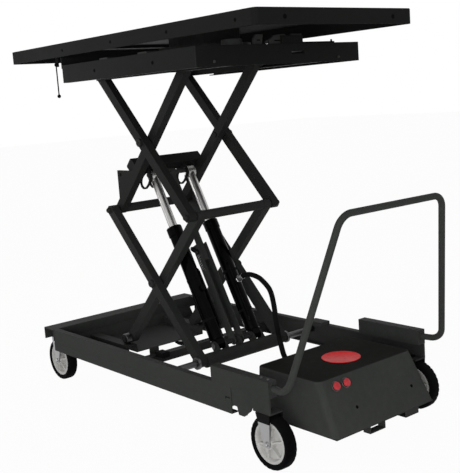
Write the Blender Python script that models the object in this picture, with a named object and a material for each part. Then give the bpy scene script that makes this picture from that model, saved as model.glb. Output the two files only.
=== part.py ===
# Mobile hydraulic lift table with two stacked scissors, two rams and a swivelling top.
# Metres. X runs from the far end to the push handle, Y across, Z up. Left is +Y.
# Pieces are modelled from the fixed lower pivot, which one empty puts in its place.
import math

import bmesh
import bpy
from mathutils import Matrix, Vector

for old_object in list(bpy.data.objects):
    bpy.data.objects.remove(old_object, do_unlink=True)

# Clearances
SEAT_GAP = 0.0003
PIN_CLEARANCE = 0.0004
SIDE_PLAY = 0.001
OVERLAP = 0.001

# Scissor arms
ARM_LENGTH = 0.850
ARM_DEPTH = 0.043
ARM_THICKNESS = 0.036
REST_ANGLE = math.radians(46.2)
LOW_ANGLE = math.radians(8.2)
ARM_CENTRE_Y = 0.2042
ARM_SPACING = 0.0095
PIN_RADIUS = 0.012
PIN_HEAD_RADIUS = 0.017
PIN_HEAD_THICKNESS = 0.008
TIE_TUBE_RADIUS = 0.0195
TIE_END_PROUD = 0.012
ROLLER_RADIUS = 0.025
ROLLER_WIDTH = 0.028
ROLLER_PIN_RADIUS = 0.010
WASHER_RADIUS = 0.015
WASHER_THICKNESS = 0.004

# Base frame
PIVOT_HEIGHT = 0.231
RAIL_OUTER_Y = 0.429
RAIL_TOP = 0.039
RAIL_HEIGHT = 0.103
RAIL_FLANGE = 0.030
RAIL_WALL = 0.005
RAIL_CREASE_HEIGHT = 0.038
RAIL_CREASE_DEPTH = 0.0015
RAIL_RIGHT_END = 0.434
END_CHANNEL_LEFT = -1.000
END_CHANNEL_WIDTH = 0.090
END_CHANNEL_HEIGHT = 0.056
TRACK_SHEET = 0.004
TRACK_HAT_WIDTH = 0.050
TRACK_LEFT = -0.884
TRACK_RIGHT = -0.545
CROSS_MEMBER_X = -0.323
CROSS_MEMBER_WIDTH = 0.050
CROSS_MEMBER_HEIGHT = 0.036
CROSS_MEMBER_CORNER = 0.004
AXLE_RADIUS = 0.014
HINGE_TUBE_RADIUS = 0.029

# Hydraulic rams and the safety prop between them
RAM_Y = 0.102
FOOT_X = -0.034
FOOT_Z = 0.040
RAM_TOP_ALONG = 0.222
RAM_TOP_ACROSS = -0.012
BARREL_RADIUS = 0.0315
BARREL_START = 0.025
BARREL_LENGTH = 0.560
GLAND_RADIUS = 0.0345
GLAND_LENGTH = 0.042
ROD_RADIUS = 0.019
ROD_FIT = 0.0003
ROD_HIDDEN_LENGTH = 0.078
BORE_END = 0.230
EYE_RADIUS = 0.020
EYE_WIDTH = 0.040
EYE_PIN_RADIUS = 0.010
LUG_THICKNESS = 0.008
SLOT_CLEARANCE = 0.003
BEAM_SIZE = 0.053
BEAM_ALONG = 0.2265
PORT_ALONG = 0.253
PORT_RADIUS = 0.014
PORT_REACH = 0.0446
PROP_WIDTH = 0.050
PROP_DEPTH = 0.044
PROP_WALL = 0.004
PROP_LENGTH = 0.460
PROP_RELIEF = 0.060
PROP_BAR_WIDTH = 0.030
PROP_BAR_DEPTH = 0.014
PROP_LUG_THICKNESS = 0.012
PAWL_ALONG = 0.425
PAWL_LENGTH = 0.055
PAWL_THICKNESS = 0.006
PAWL_PIN_RADIUS = 0.005
GUSSET_LEFT = 0.0185
GUSSET_TOP = 0.1785
GUSSET_THICKNESS = 0.010
GUSSET_HOLE_RADIUS = 0.008
GUSSET_HOLE_ALONG = 0.145
GUSSET_HOLE_ACROSS = 0.078

# Platform frame
FRAME_LEFT = -0.003
FRAME_LENGTH = 0.9605
FRAME_OUTER_Y = 0.420
FRAME_BOTTOM = -0.0313
FRAME_HEIGHT = 0.0751
FRAME_WALL = 0.004
FRAME_FLANGE = 0.030
FRAME_END_WALL = 0.005
FRAME_LIP_HEIGHT = 0.033
LOCK_LENGTH = 0.080
LOCK_WIDTH = 0.110
LOCK_REACH = 0.030
END_SLOT_Y = 0.077
END_SLOT_HEIGHT = 0.010
END_SLOT_HALF_WIDTH = 0.034
END_SLOT_HALF_HEIGHT = 0.006
BEARER_WALL = 0.005
BEARER_FLANGE_START = 0.550
BEARER_SHEET = 0.004

# Swivel ring and table top
RING_CENTRE = 0.4775
RING_RADIUS = 0.200
RING_HEIGHT = 0.016
RING_BORE = 0.095
STRAP_WIDTH = 0.060
STRAP_HEIGHT = 0.006
HUB_RADIUS = 0.150
TOP_LEFT = -0.516
TOP_LENGTH = 1.775
TOP_WIDTH = 0.798
TOP_HEIGHT = 0.057
TOP_WALL = 0.003
TOP_CORNER = 0.022
TOP_GAP = 0.0404
TOP_RIB_WIDTH = 0.060
TOP_RIB_HEIGHT = 0.014
FAR_RIB_INSET = 0.300
NEAR_RIB_INSET = 0.130
TOP_EDGE = 0.002
RELEASE_X = -0.3385
RELEASE_Y = -0.255
RELEASE_PIN_DROP = 0.018
RELEASE_BRACKET_WIDTH = 0.024
RELEASE_BRACKET_SHEET = 0.004
RELEASE_EYE_RADIUS = 0.008
RELEASE_EYE_WIDTH = 0.010
RELEASE_ROD_RADIUS = 0.003
RELEASE_ROD_LENGTH = 0.147
RELEASE_BALL_RADIUS = 0.009

# Push handle and its sockets
SOCKET_LEFT = 0.323
SOCKET_RIGHT = 0.646
SOCKET_WIDTH = 0.040
SOCKET_HEIGHT = 0.061
SOCKET_DEPTH = 0.080
HANDLE_RADIUS = 0.0125
HANDLE_FOOT_X = 0.735
HANDLE_FOOT_Y = 0.4225
HANDLE_TOP_X = 0.8806
HANDLE_TOP_Y = 0.265
HANDLE_TOP_Z = 0.679
HANDLE_BEND = 0.060

# Wheels
WHEEL_RADIUS = 0.100
TYRE_WIDTH = 0.050
HUB_OUTER_RADIUS = 0.078
HUB_WIDTH = 0.040
HUB_BOSS_RADIUS = 0.022
HUB_BOSS_WIDTH = 0.054
HUB_WEB_WIDTH = 0.012
HUB_RIM = 0.010
TREAD_SHOULDER = 0.010
TREAD_CHAMFER = 0.008
WHEEL_AXLE_RADIUS = 0.008
FORK_WALL = 0.004
FORK_SIDE_GAP = 0.002
FIXED_WHEEL_X = -0.965
FIXED_WHEEL_Y = 0.362
SWIVEL_X = 0.600
SWIVEL_Y = 0.398
SWIVEL_TRAIL = 0.020
SWIVEL_PIN_RADIUS = 0.010
CROWN_BACK = 0.030
CROWN_FRONT = 0.042
CASTER_PLATE = 0.005
CASTER_PLATE_LENGTH = 0.090
CASTER_PLATE_TOP = -0.0173
SOCKET_LEG_THICKNESS = 0.008

# Power unit under its cover
COVER_LEFT = 0.386
COVER_TOP = 0.068
COVER_BOTTOM = -0.118
COVER_TOP_RIGHT = 0.7166
COVER_BOTTOM_RIGHT = 0.8075
COVER_TOP_HALF = 0.255
COVER_BOTTOM_HALF = 0.272
COVER_WALL = 0.003
COVER_CORNER = 0.025
COVER_EDGE = 0.006
DISC_X = 0.5687
DISC_Y = 0.018
DISC_RADIUS = 0.075
DISC_THICKNESS = 0.0015
TRAY_SHEET = 0.004
TRAY_BEAM_LEFT = 0.330
TRAY_BEAM_HEIGHT = 0.040
BATTERY_INSET = 0.030
BATTERY_Y = -0.200
BATTERY_LENGTH = 0.170
BATTERY_WIDTH = 0.180
BATTERY_HEIGHT = 0.130
BATTERY_LID = 0.012
BATTERY_LID_INSET = 0.004
BATTERY_POST_RADIUS = 0.008
BATTERY_POST_INSET = 0.030
PUMP_INSET = 0.060
TANK_Y = 0.150
PUMP_RADIUS = 0.055
PUMP_LENGTH = 0.150
TANK_LENGTH = 0.150
TANK_WIDTH = 0.090
TANK_HEIGHT = 0.120
BUTTON_HEIGHT = 0.038
BUTTON_TRAVEL = 0.004
BUTTON_STEM_RADIUS = 0.006
BUTTON_HEAD_RADIUS = 0.015
BUTTON_HEAD_HEIGHT = 0.0095
BUTTON_KEEPER = 0.004
HOSE_RADIUS = 0.011
HOSE_GLAND_RADIUS = 0.018
HOSE_GLAND_LENGTH = 0.012
HOSE_END = (0.3728, -0.052, 0.022)

# Places that follow from the sizes above
INNER_ARM_Y = ARM_CENTRE_Y - (ARM_THICKNESS + ARM_SPACING) / 2
OUTER_ARM_Y = ARM_CENTRE_Y + (ARM_THICKNESS + ARM_SPACING) / 2
HALF_ARM = ARM_THICKNESS / 2
ARM_RADIUS = ARM_DEPTH / 2
SPREAD = ARM_LENGTH * math.cos(REST_ANGLE)
RISE = ARM_LENGTH * math.sin(REST_ANGLE)
UP_RIGHT = Vector((math.cos(REST_ANGLE), 0.0, math.sin(REST_ANGLE)))
UP_LEFT = Vector((-math.cos(REST_ANGLE), 0.0, math.sin(REST_ANGLE)))
ARM_NORMAL = Vector((-math.sin(REST_ANGLE), 0.0, math.cos(REST_ANGLE)))
FIXED_PIVOT = Vector((0.0, 0.0, 0.0))
LOWER_ROLLER = Vector((-SPREAD, 0.0, 0.0))
MID_LEFT = Vector((-SPREAD, 0.0, RISE))
MID_RIGHT = Vector((0.0, 0.0, RISE))
TOP_PIVOT = Vector((-SPREAD, 0.0, 2 * RISE))
TOP_ROLLER = Vector((0.0, 0.0, 2 * RISE))
LOWER_CENTRE = (FIXED_PIVOT + MID_LEFT) / 2
UPPER_CENTRE = (MID_RIGHT + TOP_PIVOT) / 2
RAM_FOOT = Vector((FOOT_X, 0.0, FOOT_Z))
RAM_TOP = MID_LEFT + RAM_TOP_ALONG * UP_RIGHT + RAM_TOP_ACROSS * ARM_NORMAL
RAM_LENGTH = (RAM_TOP - RAM_FOOT).length
RAM_AXIS = (RAM_TOP - RAM_FOOT).normalized()
RAM_SIDE = Vector((RAM_AXIS.z, 0.0, -RAM_AXIS.x))
RAIL_BOTTOM = RAIL_TOP - RAIL_HEIGHT
FLANGE_TIP = RAIL_OUTER_Y - RAIL_FLANGE
WEB_INNER = RAIL_OUTER_Y - RAIL_WALL
TOP_PIVOT_Z = TOP_PIVOT.z
FRAME_LEFT_X = TOP_PIVOT.x + FRAME_LEFT
FRAME_RIGHT_X = FRAME_LEFT_X + FRAME_LENGTH
FRAME_BOTTOM_Z = TOP_PIVOT_Z + FRAME_BOTTOM
FRAME_TOP_Z = FRAME_BOTTOM_Z + FRAME_HEIGHT
TOP_LEFT_X = TOP_PIVOT.x + TOP_LEFT
TOP_BOTTOM_Z = FRAME_TOP_Z + TOP_GAP
RING_X = TOP_PIVOT.x + RING_CENTRE
WHEEL_Z = WHEEL_RADIUS - PIVOT_HEIGHT
SOCKET_BOTTOM = RAIL_TOP + SEAT_GAP
HANDLE_Z = SOCKET_BOTTOM + 0.57 * SOCKET_HEIGHT
SOCKET_Y = RAIL_OUTER_Y - SOCKET_WIDTH / 2
TRAY_TOP = COVER_BOTTOM - SEAT_GAP
BEARER_INNER = OUTER_ARM_Y + HALF_ARM + SIDE_PLAY
MODEL_CENTRE_X = (TOP_LEFT_X + HANDLE_TOP_X + HANDLE_RADIUS) / 2

ANTHRACITE = (0.020, 0.022, 0.021)
BLACK = (0.008, 0.008, 0.008)
CHROME = (0.60, 0.60, 0.60)
ZINC = (0.35, 0.35, 0.34)
WHEEL_GREY = (0.62, 0.62, 0.60)
RED = (0.45, 0.010, 0.012)
ROUND_SIDES = 16
WHEEL_SIDES = 28


def paint(name, colour, metallic, roughness):
    material = bpy.data.materials.new(name)
    material.use_nodes = True
    shader = material.node_tree.nodes["Principled BSDF"]
    shader.inputs["Base Color"].default_value = (*colour, 1.0)
    shader.inputs["Metallic"].default_value = metallic
    shader.inputs["Roughness"].default_value = roughness
    return material


def joint_empty(name, place, parent=None):
    empty = bpy.data.objects.new(name, None)
    empty.location = place
    if parent is not None:
        empty.parent = parent
        empty.location = Vector(place) - Vector(parent["pivot"])
    empty["pivot"] = Vector(place)
    bpy.context.scene.collection.objects.link(empty)
    return empty


def add_object(name, shape, carrier):
    mesh = bpy.data.meshes.new(name)
    bmesh.ops.recalc_face_normals(shape, faces=shape.faces)
    shape.to_mesh(mesh)
    shape.free()
    mesh.transform(Matrix.Translation(-Vector(carrier["pivot"])))
    mesh.shade_smooth()
    mesh.set_sharp_from_angle(angle=math.radians(35))
    piece = bpy.data.objects.new(name, mesh)
    piece.parent = carrier
    bpy.context.scene.collection.objects.link(piece)
    return piece


# One node: its base shape, then the shapes welded to it and those cut from it
def make(name, carrier, colour, shape, welded=(), cut=(), metallic=0.0, roughness=0.5):
    piece = add_object(name, shape, carrier)
    piece.data.materials.append(paint(name, colour, metallic, roughness))
    tools = [("UNION", tool) for tool in welded] + [("DIFFERENCE", tool) for tool in cut]
    for index, (operation, tool) in enumerate(tools):
        helper = add_object(f"{name}_tool_{index}", tool, carrier)
        helper.hide_render = True
        helper.display_type = "WIRE"
        modifier = piece.modifiers.new(f"{operation}_{index}", "BOOLEAN")
        modifier.operation = operation
        modifier.object = helper
    return piece


# A flat outline pushed along X, Y or Z between two places
def prism(outline, start, end, along):
    place = {
        "X": lambda s, a, b: (s, a, b),
        "Y": lambda s, a, b: (a, s, b),
        "Z": lambda s, a, b: (a, b, s),
    }[along]
    shape = bmesh.new()
    first = [shape.verts.new(place(start, a, b)) for a, b in outline]
    last = [shape.verts.new(place(end, a, b)) for a, b in outline]
    shape.faces.new(first)
    shape.faces.new(last)
    for index in range(len(outline)):
        after = (index + 1) % len(outline)
        shape.faces.new((first[index], first[after], last[after], last[index]))
    return shape


def box(low, high):
    outline = [(low[0], low[2]), (high[0], low[2]), (high[0], high[2]), (low[0], high[2])]
    return prism(outline, low[1], high[1], "Y")


# A profile of (radius, distance) turned about the line from start along direction
def turned(profile, start, direction, sides=ROUND_SIDES, closed=False):
    axis = Vector(direction).normalized()
    across = axis.orthogonal().normalized()
    if abs(axis.y) < 0.5:
        across = Vector((0.0, 1.0, 0.0))
    elif abs(axis.x) < 0.5:
        across = Vector((0.0, 0.0, 1.0))
    other = axis.cross(across)
    shape = bmesh.new()
    rings = []
    for radius, distance in profile:
        centre = Vector(start) + axis * distance
        if radius == 0.0:
            rings.append([shape.verts.new(centre)])
            continue
        ring = []
        for step in range(sides):
            angle = 2 * math.pi * (step + 0.5) / sides
            spoke = across * math.cos(angle) + other * math.sin(angle)
            ring.append(shape.verts.new(centre + spoke * radius))
        rings.append(ring)
    pairs = list(zip(rings, rings[1:]))
    if closed:
        pairs.append((rings[-1], rings[0]))
    for lower, upper in pairs:
        for step in range(sides):
            after = (step + 1) % sides
            corners = [lower[step % len(lower)], lower[after % len(lower)]]
            corners += [upper[after % len(upper)], upper[step % len(upper)]]
            faces = []
            for corner in corners:
                if corner not in faces:
                    faces.append(corner)
            shape.faces.new(faces)
    return shape


def cylinder(radius, start, end, sides=ROUND_SIDES):
    length = (Vector(end) - Vector(start)).length
    direction = Vector(end) - Vector(start)
    return turned([(0.0, 0.0), (radius, 0.0), (radius, length), (0.0, length)], start, direction, sides)


def cross_pin(radius, centre, start_y, end_y, sides=ROUND_SIDES):
    return cylinder(radius, (centre[0], start_y, centre[2]), (centre[0], end_y, centre[2]), sides)


# The outline of a bar with round ends between two places in the XZ plane
def bar_outline(start, end, radius, steps=5):
    direction = (Vector((end[0], end[2])) - Vector((start[0], start[2]))).normalized()
    heading = math.atan2(direction.y, direction.x)
    points = []
    for centre, turn in ((end, -math.pi / 2), (start, math.pi / 2)):
        for step in range(steps + 1):
            angle = heading + turn + math.pi * step / steps
            points.append((centre[0] + radius * math.cos(angle), centre[2] + radius * math.sin(angle)))
    return points


def bar(start, end, radius, start_y, end_y, steps=5):
    return prism(bar_outline(start, end, radius, steps), start_y, end_y, "Y")


def block_along_ram(start, end, low_side, high_side, start_y, end_y):
    corners = []
    for distance, side in ((start, low_side), (end, low_side), (end, high_side), (start, high_side)):
        place = RAM_FOOT + RAM_AXIS * distance + RAM_SIDE * side
        corners.append((place.x, place.z))
    return prism(corners, start_y, end_y, "Y")


def round_corners(corners, radius, steps=4):
    points = []
    count = len(corners)
    for index in range(count):
        corner = Vector(corners[index])
        before = (Vector(corners[index - 1]) - corner).normalized()
        after = (Vector(corners[(index + 1) % count]) - corner).normalized()
        half = before.angle(after) / 2
        centre = corner + (before + after).normalized() * radius / math.sin(half)
        start = corner + before * radius / math.tan(half) - centre
        end = corner + after * radius / math.tan(half) - centre
        for step in range(steps + 1):
            spoke = start.lerp(end, step / steps).normalized() * radius
            points.append(tuple(centre + spoke))
    return points


# Closed rings of points joined into a skin, with a cap on the first and the last
def lofted(rings):
    shape = bmesh.new()
    loops = [[shape.verts.new(point) for point in ring] for ring in rings]
    for lower, upper in zip(loops, loops[1:]):
        for index in range(len(lower)):
            after = (index + 1) % len(lower)
            shape.faces.new((lower[index], lower[after], upper[after], upper[index]))
    shape.faces.new(loops[0])
    shape.faces.new(loops[-1])
    return shape


def tube_curve(name, points, radius, carrier, colour, resolution):
    data = bpy.data.curves.new(name, "CURVE")
    data.dimensions = "3D"
    data.bevel_depth = radius
    data.bevel_resolution = resolution
    data.use_fill_caps = True
    spline = data.splines.new("POLY")
    spline.points.add(len(points) - 1)
    for point, place in zip(spline.points, points):
        point.co = (*(Vector(place) - Vector(carrier["pivot"])), 1.0)
    tube = bpy.data.objects.new(name, data)
    tube.parent = carrier
    tube.data.materials.append(paint(name, colour, 0.0, 0.5))
    bpy.context.scene.collection.objects.link(tube)
    return tube


# Joint empties: each moving piece hangs from the one on its own axis
def make_joints():
    base = joint_empty("base_frame", FIXED_PIVOT)
    base.location = (-MODEL_CENTRE_X, 0.0, PIVOT_HEIGHT)
    joints = {"base": base}
    joints["lower_outer"] = joint_empty("joint_fixed_pivot", FIXED_PIVOT, base)
    joints["lower_inner"] = joint_empty("joint_lower_centre", LOWER_CENTRE, joints["lower_outer"])
    joints["upper_inner"] = joint_empty("joint_mid_left", MID_LEFT, joints["lower_outer"])
    joints["upper_outer"] = joint_empty("joint_mid_right", MID_RIGHT, joints["lower_inner"])
    joints["platform"] = joint_empty("joint_top_pivot", TOP_PIVOT, joints["upper_outer"])
    joints["lower_roller"] = joint_empty("joint_lower_roller", LOWER_ROLLER, joints["lower_inner"])
    joints["upper_roller"] = joint_empty("joint_upper_roller", TOP_ROLLER, joints["upper_inner"])
    joints["barrels"] = joint_empty("joint_ram_foot", RAM_FOOT, base)
    joints["rods"] = joint_empty("joint_ram_slide", RAM_TOP, joints["barrels"])
    ring = Vector((RING_X, 0.0, TOP_BOTTOM_Z))
    joints["top"] = joint_empty("joint_swivel", ring, joints["platform"])
    return joints


def mirrored(side, first, second):
    return (side * first, side * second)


# Base frame: two folded channel rails, an end channel and the pieces between them
def base_rail(joints, side, name):
    crease = RAIL_BOTTOM + RAIL_CREASE_HEIGHT
    outer = RAIL_OUTER_Y - RAIL_CREASE_DEPTH
    outline = [
        (RAIL_OUTER_Y, RAIL_BOTTOM),
        (RAIL_OUTER_Y, crease),
        (outer, crease + RAIL_CREASE_DEPTH),
        (outer, RAIL_TOP),
        (FLANGE_TIP, RAIL_TOP),
        (FLANGE_TIP, RAIL_TOP - RAIL_WALL),
        (WEB_INNER, RAIL_TOP - RAIL_WALL),
        (WEB_INNER, RAIL_BOTTOM + RAIL_WALL),
        (FLANGE_TIP, RAIL_BOTTOM + RAIL_WALL),
        (FLANGE_TIP, RAIL_BOTTOM),
    ]
    outline = [(side * y, z) for y, z in outline]
    left_end = END_CHANNEL_LEFT + END_CHANNEL_WIDTH + SEAT_GAP
    make(name, joints["base"], ANTHRACITE, prism(outline, left_end, RAIL_RIGHT_END, "X"))


def wheel_fork(centre_x, centre_y, crown_left, crown_right, crown_top, crown_thickness):
    cheek_inner = HUB_BOSS_WIDTH / 2 + FORK_SIDE_GAP
    cheek_outer = cheek_inner + FORK_WALL
    crown_low = crown_top - crown_thickness
    crown_end = (crown_right, centre_y + cheek_outer, crown_top)
    pieces = [box((crown_left, centre_y - cheek_outer, crown_low), crown_end)]
    boss = 2 * WHEEL_AXLE_RADIUS
    for sign in (-1, 1):
        outline = [(crown_left, crown_low + OVERLAP)]
        for step in range(6):
            angle = math.pi + math.pi * step / 5
            outline.append((centre_x + boss * math.cos(angle), WHEEL_Z + boss * math.sin(angle)))
        outline.append((crown_right, crown_low + OVERLAP))
        low, high = centre_y + sign * cheek_inner, centre_y + sign * cheek_outer
        pieces.append(prism(outline, low, high, "Y"))
    axle_reach = cheek_outer + FORK_WALL
    centre = (centre_x, 0.0, WHEEL_Z)
    pieces.append(cross_pin(WHEEL_AXLE_RADIUS, centre, centre_y - axle_reach, centre_y + axle_reach))
    return pieces


def end_channel(joints):
    left = END_CHANNEL_LEFT
    right = left + END_CHANNEL_WIDTH
    low = RAIL_TOP - END_CHANNEL_HEIGHT
    wall = RAIL_WALL
    outline = [
        (left, low),
        (left, RAIL_TOP),
        (right, RAIL_TOP),
        (right, low),
        (right - wall, low),
        (right - wall, RAIL_TOP - wall),
        (left + wall, RAIL_TOP - wall),
        (left + wall, low),
    ]
    forks = []
    crown_top = low + OVERLAP
    thickness = FORK_WALL + OVERLAP
    start, end = left + wall / 2, right - wall / 2
    for side in (-1, 1):
        forks += wheel_fork(FIXED_WHEEL_X, side * FIXED_WHEEL_Y, start, end, crown_top, thickness)
    shape = prism(outline, -RAIL_OUTER_Y, RAIL_OUTER_Y, "Y")
    make("end_channel", joints["base"], ANTHRACITE, shape, welded=forks)


def roller_track(joints):
    sheet = TRACK_SHEET
    edge = FLANGE_TIP - SEAT_GAP
    roller_y = INNER_ARM_Y + HALF_ARM + SIDE_PLAY * 3 + ROLLER_WIDTH / 2
    near, far = roller_y - TRACK_HAT_WIDTH / 2, roller_y + TRACK_HAT_WIDTH / 2
    top = -ROLLER_RADIUS - SEAT_GAP
    low = RAIL_BOTTOM
    floor = low + sheet
    crown = top - sheet
    upper = [(near, floor), (near, top), (far, top), (far, floor), (edge, floor)]
    lower = [(edge, low), (far - sheet, low), (far - sheet, crown), (near + sheet, crown), (near + sheet, low)]
    half = upper + lower
    upper_mirror = [(-y, z) for y, z in reversed(upper)]
    lower_mirror = [(-y, z) for y, z in reversed(lower)]
    outline = upper_mirror + half + lower_mirror
    make("roller_track", joints["base"], ANTHRACITE, prism(outline, TRACK_LEFT, TRACK_RIGHT, "X"))


def cross_member(joints):
    low = RAIL_BOTTOM + RAIL_WALL + SEAT_GAP
    high = low + CROSS_MEMBER_HEIGHT
    left = CROSS_MEMBER_X - CROSS_MEMBER_WIDTH / 2
    right = left + CROSS_MEMBER_WIDTH
    outline = round_corners([(left, low), (right, low), (right, high), (left, high)], CROSS_MEMBER_CORNER, 2)
    reach = WEB_INNER - SEAT_GAP
    make("cross_member", joints["base"], ANTHRACITE, prism(outline, -reach, reach, "Y"))


def hinge_axle(joints):
    reach = WEB_INNER - SEAT_GAP
    make("hinge_axle", joints["base"], ZINC, cross_pin(AXLE_RADIUS, FIXED_PIVOT, -reach, reach), metallic=1.0)


# The big tube on the axle carries the ears and the pin of the rams and of the prop
def hinge_tube(joints):
    reach = OUTER_ARM_Y - HALF_ARM - SEAT_GAP
    ears = []
    for low, high in ear_places():
        ears.append(bar(FIXED_PIVOT, RAM_FOOT, EYE_RADIUS, low, high))
    half_lug = PROP_LUG_THICKNESS / 2
    ears.append(bar(FIXED_PIVOT, RAM_FOOT, EYE_RADIUS, -half_lug, half_lug))
    pin_reach = RAM_Y + EYE_WIDTH / 2 + LUG_THICKNESS + SIDE_PLAY
    ears.append(cross_pin(EYE_PIN_RADIUS, RAM_FOOT, -pin_reach, pin_reach))
    bore = cross_pin(AXLE_RADIUS + PIN_CLEARANCE, FIXED_PIVOT, -reach - OVERLAP, reach + OVERLAP)
    tube = cross_pin(HINGE_TUBE_RADIUS, FIXED_PIVOT, -reach, reach)
    make("hinge_tube", joints["base"], ANTHRACITE, tube, welded=ears, cut=[bore])


def ear_places():
    inner = RAM_Y - EYE_WIDTH / 2 - SEAT_GAP
    outer = RAM_Y + EYE_WIDTH / 2 + SEAT_GAP
    places = []
    for side in (-1, 1):
        places.append(mirrored(side, inner - LUG_THICKNESS, inner))
        places.append(mirrored(side, outer, outer + LUG_THICKNESS))
    return places


# Scissor arms. An outer arm carries the centre pin, which turns in the inner arm.
def arm_with_pins(name, carrier, side, y, start, end, bores, welded):
    cut = []
    for centre, radius in bores:
        low, high = mirrored(side, y - ARM_THICKNESS, y + ARM_THICKNESS)
        cut.append(cross_pin(radius + PIN_CLEARANCE, centre, low, high))
    low, high = mirrored(side, y - HALF_ARM, y + HALF_ARM)
    shape = bar(start, end, ARM_RADIUS, low, high)
    make(name, carrier, ANTHRACITE, shape, welded=welded, cut=cut)


# A pin across the arms with a wider head on its outer end
def headed_pin(side, centre, start, shoulder, end, radius, head_radius):
    profile = [(0.0, start), (radius, start), (radius, shoulder)]
    profile += [(head_radius, shoulder), (head_radius, end), (0.0, end)]
    return turned(profile, (centre[0], 0.0, centre[2]), (0, side, 0))


def centre_pin(side, centre):
    start = INNER_ARM_Y - HALF_ARM - WASHER_THICKNESS
    shoulder = OUTER_ARM_Y + HALF_ARM - OVERLAP
    end = OUTER_ARM_Y + HALF_ARM + PIN_HEAD_THICKNESS
    return [headed_pin(side, centre, start, shoulder, end, PIN_RADIUS, PIN_HEAD_RADIUS)]


def roller_stub(side, centre):
    face = INNER_ARM_Y + HALF_ARM
    washer = face + 3 * SIDE_PLAY + ROLLER_WIDTH + SEAT_GAP
    end = washer + WASHER_THICKNESS
    start = face - ARM_THICKNESS / 4
    return [headed_pin(side, centre, start, washer, end, ROLLER_PIN_RADIUS, WASHER_RADIUS)]


def roller(name, carrier, side, centre):
    start = INNER_ARM_Y + HALF_ARM + 3 * SIDE_PLAY
    inner = ROLLER_PIN_RADIUS + PIN_CLEARANCE
    chamfer = 0.002
    profile = [
        (inner, 0.0),
        (ROLLER_RADIUS - chamfer, 0.0),
        (ROLLER_RADIUS, chamfer),
        (ROLLER_RADIUS, ROLLER_WIDTH - chamfer),
        (ROLLER_RADIUS - chamfer, ROLLER_WIDTH),
        (inner, ROLLER_WIDTH),
    ]
    place = (centre[0], side * start, centre[2])
    make(name, carrier, ZINC, turned(profile, place, (0, side, 0), ROUND_SIDES, closed=True), metallic=1.0)


def tie_tube(name, carrier, centre):
    shoulder = INNER_ARM_Y - HALF_ARM - SEAT_GAP
    end = OUTER_ARM_Y + HALF_ARM + TIE_END_PROUD
    profile = [
        (0.0, -end),
        (PIN_RADIUS, -end),
        (PIN_RADIUS, -shoulder),
        (TIE_TUBE_RADIUS, -shoulder),
        (TIE_TUBE_RADIUS, shoulder),
        (PIN_RADIUS, shoulder),
        (PIN_RADIUS, end),
        (0.0, end),
    ]
    make(name, carrier, ANTHRACITE, turned(profile, (centre[0], 0.0, centre[2]), (0, 1, 0)))


def gusset(side):
    corner_x = MID_LEFT.x + GUSSET_LEFT
    corner_z = MID_LEFT.z + GUSSET_TOP
    slope = math.tan(REST_ANGLE)
    low_z = MID_LEFT.z + GUSSET_LEFT * slope
    right_x = MID_LEFT.x + GUSSET_TOP / slope
    outer = INNER_ARM_Y + HALF_ARM
    outline = [(corner_x, low_z), (right_x, corner_z), (corner_x, corner_z)]
    return prism(outline, side * (outer - GUSSET_THICKNESS), side * (outer - OVERLAP / 4), "Y")


def gusset_hole(side):
    centre = MID_LEFT + GUSSET_HOLE_ALONG * UP_RIGHT + GUSSET_HOLE_ACROSS * ARM_NORMAL
    start, end = mirrored(side, INNER_ARM_Y - HALF_ARM, INNER_ARM_Y + ARM_THICKNESS)
    return cross_pin(GUSSET_HOLE_RADIUS, centre, start, end, 12)


def scissor_arms(joints):
    for side, hand in ((1, "left"), (-1, "right")):
        arm_with_pins(
            f"lower_outer_arm_{hand}", joints["lower_outer"], side, OUTER_ARM_Y, FIXED_PIVOT, MID_LEFT,
            [(FIXED_PIVOT, AXLE_RADIUS), (MID_LEFT, PIN_RADIUS)], centre_pin(side, LOWER_CENTRE),
        )
        arm_with_pins(
            f"lower_inner_arm_{hand}", joints["lower_inner"], side, INNER_ARM_Y, LOWER_ROLLER, MID_RIGHT,
            [(LOWER_CENTRE, PIN_RADIUS), (MID_RIGHT, PIN_RADIUS)], roller_stub(side, LOWER_ROLLER),
        )
        arm_with_pins(
            f"upper_outer_arm_{hand}", joints["upper_outer"], side, OUTER_ARM_Y, MID_RIGHT, TOP_PIVOT,
            [(MID_RIGHT, PIN_RADIUS), (TOP_PIVOT, PIN_RADIUS)], centre_pin(side, UPPER_CENTRE),
        )
        roller(f"lower_roller_{hand}", joints["lower_roller"], side, LOWER_ROLLER)
        roller(f"upper_roller_{hand}", joints["upper_roller"], side, TOP_ROLLER)
        upper_inner_arm(joints, side, hand)
    tie_tube("tie_tube_mid_left", joints["lower_outer"], MID_LEFT)
    tie_tube("tie_tube_mid_right", joints["lower_inner"], MID_RIGHT)


def upper_inner_arm(joints, side, hand):
    low, high = mirrored(side, INNER_ARM_Y - HALF_ARM, INNER_ARM_Y + HALF_ARM)
    shape = bar(MID_LEFT, TOP_ROLLER, ARM_RADIUS, low, high)
    cut = [gusset_hole(side)]
    low, high = mirrored(side, INNER_ARM_Y - ARM_THICKNESS, INNER_ARM_Y + ARM_THICKNESS)
    for centre in (MID_LEFT, UPPER_CENTRE):
        cut.append(cross_pin(PIN_RADIUS + PIN_CLEARANCE, centre, low, high))
    welded = [gusset(side)] + roller_stub(side, TOP_ROLLER)
    make(f"upper_inner_arm_{hand}", joints["upper_inner"], ANTHRACITE, shape, welded=welded, cut=cut)


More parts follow.
